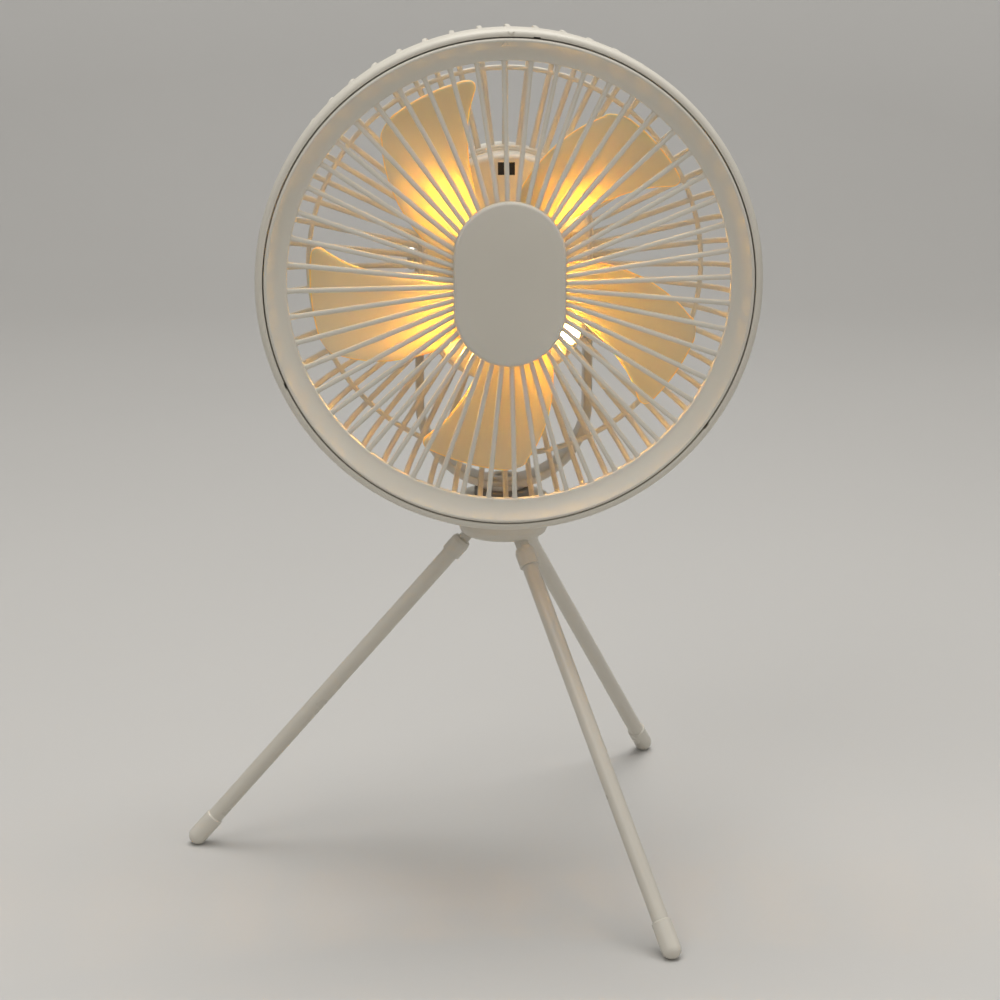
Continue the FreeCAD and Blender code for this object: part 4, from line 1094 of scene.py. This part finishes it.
class CAMPINGFAN_OT_rotor(Operator):
    """Forms the five milky blades and their hub"""

    bl_idname = "camping_fan.rotor"
    bl_label = "Rotor"

    def execute(self, context):
        material = blade_plastic()
        blades = [blade(BLADE_TURN + 72.0 * k) for k in range(5)]
        lit = []
        for k, one in enumerate(blades):
            lit += blade_rim_faces(k * len(one[1]))
        piece(
            "rotor_blades", join(*blades), material, "rotor", "blade_plastic", ["rotor"], sharp=60.0,
            edges=(lit_blade_edge(), lit),
        )
        front, back, wall, bore, boss = 7.5, 28.0, 18.6, 2.0, 4.6
        outline = rounded([
            (bore, front + 1.0, 0.0), (bore, front, 0.3), (HUB_R, front, 3.0), (HUB_R, back, 0.5),
            (wall, back, 0.5), (wall, front + 2.2, 1.2), (boss, front + 2.2, 0.6), (boss, 13.0, 0.3),
            (bore, 13.0, 0.3),
        ], 5)
        piece("rotor_hub", turned_on_head(outline, 96), material, "rotor", "blade_plastic", ["rotor"])
        finish_nodes(bare_metal("Brushed aluminium", (0.72, 0.72, 0.70)), "motor_bell", "motor_mount")
        finish_nodes(finish("Turned steel"), "rotor_nut", "motor_shaft", "motor_bearings", "motor_screws")
        finish_nodes(wound_copper(), "motor_stator")
        return {"FINISHED"}


class CAMPINGFAN_OT_housing(Operator):
    """Finishes the two halves of the housing and what they hold"""

    bl_idname = "camping_fan.housing"
    bl_label = "Housing"

    def execute(self, context):
        finish_nodes(finish("Ivory shell"), "housing_front", "housing_rear")
        finish_nodes(glossy_dark("Receiver window", colours().window), "ir_window")
        finish_nodes(finish("Dark steel"), "case_screws")
        finish_nodes(board_finish("Lamp board", (0.80, 0.80, 0.78), (0.66, 0.64, 0.58)), "led_board")
        finish_nodes(board_finish("Control board", (0.02, 0.13, 0.07), (0.05, 0.26, 0.12)), "control_board")
        finish_nodes(glossy_dark("Cell sleeve", (0.03, 0.16, 0.10), 0.25), "battery_cells")
        finish_nodes(moulded_plastic("Cradle plastic", (0.05, 0.05, 0.05), dust=0.0), "battery_holder")
        return {"FINISHED"}


class CAMPINGFAN_OT_lamps(Operator):
    """Lights the four lamps in the face"""

    bl_idname = "camping_fan.lamps"
    bl_label = "Lamps"

    def execute(self, context):
        finish_nodes(lamp_lens(), "led_lenses")
        return {"FINISHED"}


class CAMPINGFAN_OT_controls(Operator):
    """Finishes the buttons with their raised signs, the charge lights and the inlet"""

    bl_idname = "camping_fan.controls"
    bl_label = "Controls"

    def execute(self, context):
        finish_nodes(finish("Ivory shell"), "power_button", "light_button", "timer_button")
        finish_nodes(glossy_dark("Frosted strip", (0.55, 0.55, 0.53), 0.35), "indicator_window")
        finish_nodes(finish("Turned steel"), "usb_c_inlet")
        finish_nodes(glossy_dark("Inlet tongue", (0.02, 0.02, 0.02), 0.3), "usb_c_tongue")
        signs = (("power_button", power_sign), ("light_button", light_sign), ("timer_button", timer_sign))
        material = moulded_plastic("Sign grey", (0.20, 0.20, 0.19), dust=0.0)
        for name, sign in signs:
            low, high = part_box(name)
            middle = Vector(((low.x + high.x) / 2, high.y, (low.z + high.z) / 2))
            piece(name.replace("button", "sign"), sign(middle), material, name, "ivory_plastic", sharp=30.0)
        return {"FINISHED"}


def raised_line(middle, path, width, closed=False):
    """A raised line on a button, along points (across, up) in millimetres, seen from behind."""
    height = sizes().symbol_height / MM
    left = [(-1.0, -0.1), (-0.9, height * 0.7), (-0.6, height)]
    section = left + [(-s, out) for s, out in reversed(left)]
    rings = []
    count = len(path)
    for k, (x, z) in enumerate(path):
        if closed:
            before, after = path[k - 1], path[(k + 1) % count]
        else:
            before, after = path[max(0, k - 1)], path[min(count - 1, k + 1)]
        along = Vector((after[0] - before[0], after[1] - before[1])).normalized()
        side = Vector((-along.y, along.x)) * width / 2
        ring = []
        for s, out in section:
            ring.append(middle + Vector((-(x + side.x * s), out, z + side.y * s)) * MM)
        rings.append(ring)
    return skin(rings, closed=closed)


def circle(radius, start, end, count):
    """Points along a circle or a part of one."""
    path = []
    for k in range(count):
        t = math.radians(start + (end - start) * k / (count - 1))
        path.append((radius * math.sin(t), radius * math.cos(t)))
    return path


def power_sign(middle):
    """Broken circle with an upright stroke."""
    loop = raised_line(middle, circle(2.6, 35, 325, 30), 0.6)
    return join(loop, raised_line(middle, [(0, 0.6), (0, 2.0), (0, 3.3)], 0.6))


def light_sign(middle):
    """Small disc with rays."""
    parts = [raised_line(middle, circle(1.1, 0, 345, 24), 0.5, closed=True)]
    for k in range(8):
        t = math.radians(45 * k)
        ray = [(r * math.sin(t), r * math.cos(t)) for r in (1.9, 2.4, 2.9)]
        parts.append(raised_line(middle, ray, 0.5))
    return join(*parts)


def timer_sign(middle):
    """Clock face with two hands."""
    loop = raised_line(middle, circle(2.4, 0, 348, 30), 0.5, closed=True)
    hands = raised_line(middle, [(0, 1.5), (0, 0.6), (0, 0), (0.5, -0.3), (1.1, -0.65)], 0.5)
    return join(loop, hands)


class CAMPINGFAN_OT_bracket(Operator):
    """Forms the bent bar of the bracket and finishes its tilt pivots"""

    bl_idname = "camping_fan.bracket"
    bl_label = "Bracket"

    def execute(self, context):
        paint = finish("Baked ivory paint")
        pivot_hole = rod_cutter(PIVOT, Vector((1, 0, 0)), PIVOT_HOLE_R, 60.0)
        foot_hole = rod_cutter(PIVOT - Vector((0, 0, YOKE_DROP)) * MM, Vector((0, 0, 1)), BUSH_R, 10.0)
        piece(
            "bracket_bar", bent_bar(), paint, "bracket", "painted_bracket", ["yoke"],
            cutters=(pivot_hole, foot_hole),
        )
        finish_nodes(paint, "yoke_bush")
        finish_nodes(finish("Turned steel"), "pivot_screws", "tripod_stud")
        finish_nodes(bare_metal("Brass", (0.62, 0.44, 0.20)), "pivot_inserts")
        finish_nodes(moulded_plastic("Washer plastic", (0.10, 0.10, 0.10), dust=0.0), "pivot_washers")
        return {"FINISHED"}


def rod_cutter(middle, axis, radius, reach):
    """Cutter for a round hole, to both sides of a point."""
    side = axis.orthogonal().normalized()
    rings = []
    for along in (-reach, reach):
        ring = []
        for k in range(48):
            turned = side.copy()
            turned.rotate(Matrix.Rotation(2 * math.pi * k / 48, 3, axis))
            ring.append(middle + (axis * along + turned * radius) * MM)
        rings.append(ring)
    return skin(rings)


def bent_bar():
    """The bracket's flat bar, bent to a U, round at its two ends and with soft edges."""
    end = YOKE_DEPTH / 2
    half = YOKE_THICK / 2
    reach = YOKE_HALF_W - half
    centre = YOKE_HALF_W - YOKE_DROP - YOKE_THICK
    path = []
    for k in range(13):
        t = math.radians(90.0 - 7.5 * k)
        path.append((-reach, end * math.sin(t), 180.0, max(0.02, math.cos(t))))
    for z in (-2.0, -10.0, -20.0, -30.0, -40.0, -50.0, -58.0):
        path.append((-reach, z, 180.0, 1.0))
    for k in range(49):
        degrees = 180.0 + 3.75 * k
        t = math.radians(degrees)
        path.append((reach * math.cos(t), centre + reach * math.sin(t), degrees, 1.0))
    path += [(-x, z, 360.0, share) for x, z, lean, share in reversed(path[:20])]
    rings = []
    for x, z, lean, share in path:
        t = math.radians(lean)
        deep = end * share
        soft = min(0.9, deep * 0.9)
        section = rounded([(x, y, soft) for x, y in oblong(deep, -half, half)], 4)
        ring = []
        for along, out in section:
            ring.append(PIVOT + Vector((x + out * math.cos(t), along, z + out * math.sin(t))) * MM)
        rings.append(ring)
    return skin(rings)


class CAMPINGFAN_OT_tripod(Operator):
    """Finishes the tripod's head, legs and feet"""

    bl_idname = "camping_fan.tripod"
    bl_label = "Tripod"

    def execute(self, context):
        paint = finish("Baked ivory paint")
        outline = rounded([
            (PUCK_BORE_R, PUCK_RECESS_TOP, 0.0), (PUCK_RECESS_R, PUCK_RECESS_TOP, 0.6),
            (PUCK_RECESS_R, 147.2, 0.5), (PUCK_R - 2.2, 146.9, 0.0), (PUCK_R - 0.9, 147.8, 1.2),
            (PUCK_R, 150.2, 2.4), (PUCK_R, PUCK_TOP, 0.9), (PUCK_BORE_R, PUCK_TOP, 0.0),
        ], 6)
        piece(
            "tripod_puck", turned_on_stand(outline, 128), finish("Ivory shell"), "tripod", "ivory_plastic",
            ["tripod_hub"],
        )
        finish_nodes(moulded_plastic("Rubber", colours().pad, rough=0.75, dust=0.2), "hub_pad")
        finish_nodes(paint, "leg_carrier")
        finish_nodes(finish("Turned steel"), "hinge_pins")
        boots = moulded_plastic("Glossy feet", colours().boots, rough=0.22, dust=0.05, strength=0.1)
        for side in ("left", "front", "back"):
            finish_nodes(paint, "knuckle_" + side, "leg_tube_" + side)
            finish_nodes(boots, "foot_" + side)
        return {"FINISHED"}


class CAMPINGFAN_OT_stage(Operator):
    """Sets the pale floor, the soft studio light and the camera"""

    bl_idname = "camping_fan.stage"
    bl_label = "Stage"

    def execute(self, context):
        scene = context.scene
        scene.view_settings.view_transform = "Standard"
        sweep_of_floor(floor_finish())
        light_room(scene)
        soft_light("Key light", Vector((-0.8, -1.2, 1.7)), 1.0, 8.0)
        soft_light("Fill light", Vector((1.5, -0.9, 0.9)), 1.2, 3.5)
        soft_light("Top light", Vector((0.1, 0.05, 1.9)), 1.3, 27.0)
        data = bpy.data.cameras.new("Photograph")
        data.lens = CAMERA_LENS
        data.sensor_width = 36.0
        data.clip_start = 0.05
        data.clip_end = 30.0
        camera = bpy.data.objects.new("Photograph", data)
        scene.collection.objects.link(camera)
        camera.location = CAMERA_AT
        camera.rotation_euler = (math.pi / 2 - CAMERA_DOWN, 0.0, CAMERA_ASIDE)
        scene.camera = camera
        return {"FINISHED"}


def floor_finish():
    """Pale matt floor, which looks brighter far away."""
    tree, shader, material = start_material("Pale floor")
    place = object_place(tree)
    pale = colours().floor
    wide = noise(tree, place, Scale=2.5, Detail=3.0)
    body = blend_colours(tree, wide.outputs["Fac"], tint(pale, 0.97), tint(pale, 1.03))
    tree.links.new(body, shader.inputs["Base Color"])
    shader.inputs["Roughness"].default_value = 0.7
    far = reckon_vector(tree, "LENGTH", place)
    glow = spread(tree, far, PALE_FROM, PALE_TO, 0.0, PALE_GLOW)
    rays = add(tree, "ShaderNodeLightPath").outputs
    glow = reckon(tree, "MULTIPLY", glow, rays["Is Camera Ray"])
    tree.links.new(glow, shader.inputs["Emission Strength"])
    shader.inputs["Emission Color"].default_value = ROOM_TINT
    return material


def light_room(scene):
    """Soft light from all round, brighter where it is seen or mirrored than where it lights."""
    world = bpy.data.worlds.new("Soft room")
    scene.world = world
    world.use_nodes = True
    tree = world.node_tree
    sky = tree.nodes["Background"]
    sky.inputs["Color"].default_value = ROOM_TINT
    rays = add(tree, "ShaderNodeLightPath").outputs
    seen = reckon(tree, "MAXIMUM", rays["Is Camera Ray"], rays["Is Glossy Ray"])
    seen = reckon(tree, "MAXIMUM", seen, rays["Is Transmission Ray"])
    tree.links.new(spread(tree, seen, 0.0, 1.0, ROOM_LIGHT, ROOM_SEEN), sky.inputs["Strength"])


def sweep_of_floor(material):
    """Floor that curves up into a backdrop."""
    rows = [(-4.0, 0.0), (0.0, 0.0), (1.2, 0.0)]
    for k in range(1, 13):
        t = math.radians(90 * k / 12)
        rows.append((1.2 + 0.8 * math.sin(t), 0.8 - 0.8 * math.cos(t)))
    rows.append((2.0, 4.0))
    points, faces = [], []
    for y, z in rows:
        points += [(-5.0, y, z), (5.0, y, z)]
    for k in range(len(rows) - 1):
        faces.append((2 * k, 2 * k + 1, 2 * k + 3, 2 * k + 2))
    data = bpy.data.meshes.new("floor_sweep")
    data.from_pydata(points, [], faces)
    data.shade_smooth()
    data.materials.append(material)
    thing = bpy.data.objects.new("floor_sweep", data)
    bpy.context.scene.collection.objects.link(thing)
    return thing


def soft_light(name, place, size, power):
    """A square soft box that faces the object."""
    data = bpy.data.lights.new(name, "AREA")
    data.size = size
    data.energy = power
    data.color = (1.0, 0.985, 0.96)
    lamp = bpy.data.objects.new(name, data)
    lamp.location = place
    lamp.rotation_euler = (LIGHT_AIM - place).to_track_quat("-Z", "Y").to_euler()
    bpy.context.scene.collection.objects.link(lamp)


OPERATORS = (
    CAMPINGFAN_OT_stage,
    CAMPINGFAN_OT_finishes,
    CAMPINGFAN_OT_grille_ring,
    CAMPINGFAN_OT_grille_spokes,
    CAMPINGFAN_OT_cap,
    CAMPINGFAN_OT_rear_guard,
    CAMPINGFAN_OT_rotor,
    CAMPINGFAN_OT_housing,
    CAMPINGFAN_OT_lamps,
    CAMPINGFAN_OT_controls,
    CAMPINGFAN_OT_bracket,
    CAMPINGFAN_OT_tripod,
)


class CAMPINGFAN_PT_panel(Panel):
    """Settings of the fan, and a button for each of its pieces"""

    bl_idname = "CAMPINGFAN_PT_panel"
    bl_label = "Camping fan"
    bl_space_type = "VIEW_3D"
    bl_region_type = "UI"
    bl_category = "Camping fan"

    def draw(self, context):
        settings = context.scene.camping_fan
        for group in (settings.colours, settings.sizes):
            box = self.layout.box()
            for name in group.__annotations__:
                box.prop(group, name)
        for operator in OPERATORS:
            self.layout.operator(operator.bl_idname)


CLASSES = (FanColours, FanSizes, FanSettings, *OPERATORS, CAMPINGFAN_PT_panel)


def register():
    for one in CLASSES:
        bpy.utils.register_class(one)
    bpy.types.Scene.camping_fan = PointerProperty(type=FanSettings)


def unregister():
    del bpy.types.Scene.camping_fan
    for one in reversed(CLASSES):
        bpy.utils.unregister_class(one)


def main():
    register()
    for operator in OPERATORS:
        getattr(bpy.ops.camping_fan, operator.bl_idname.split(".")[1])()


if __name__ == "__main__":
    main()
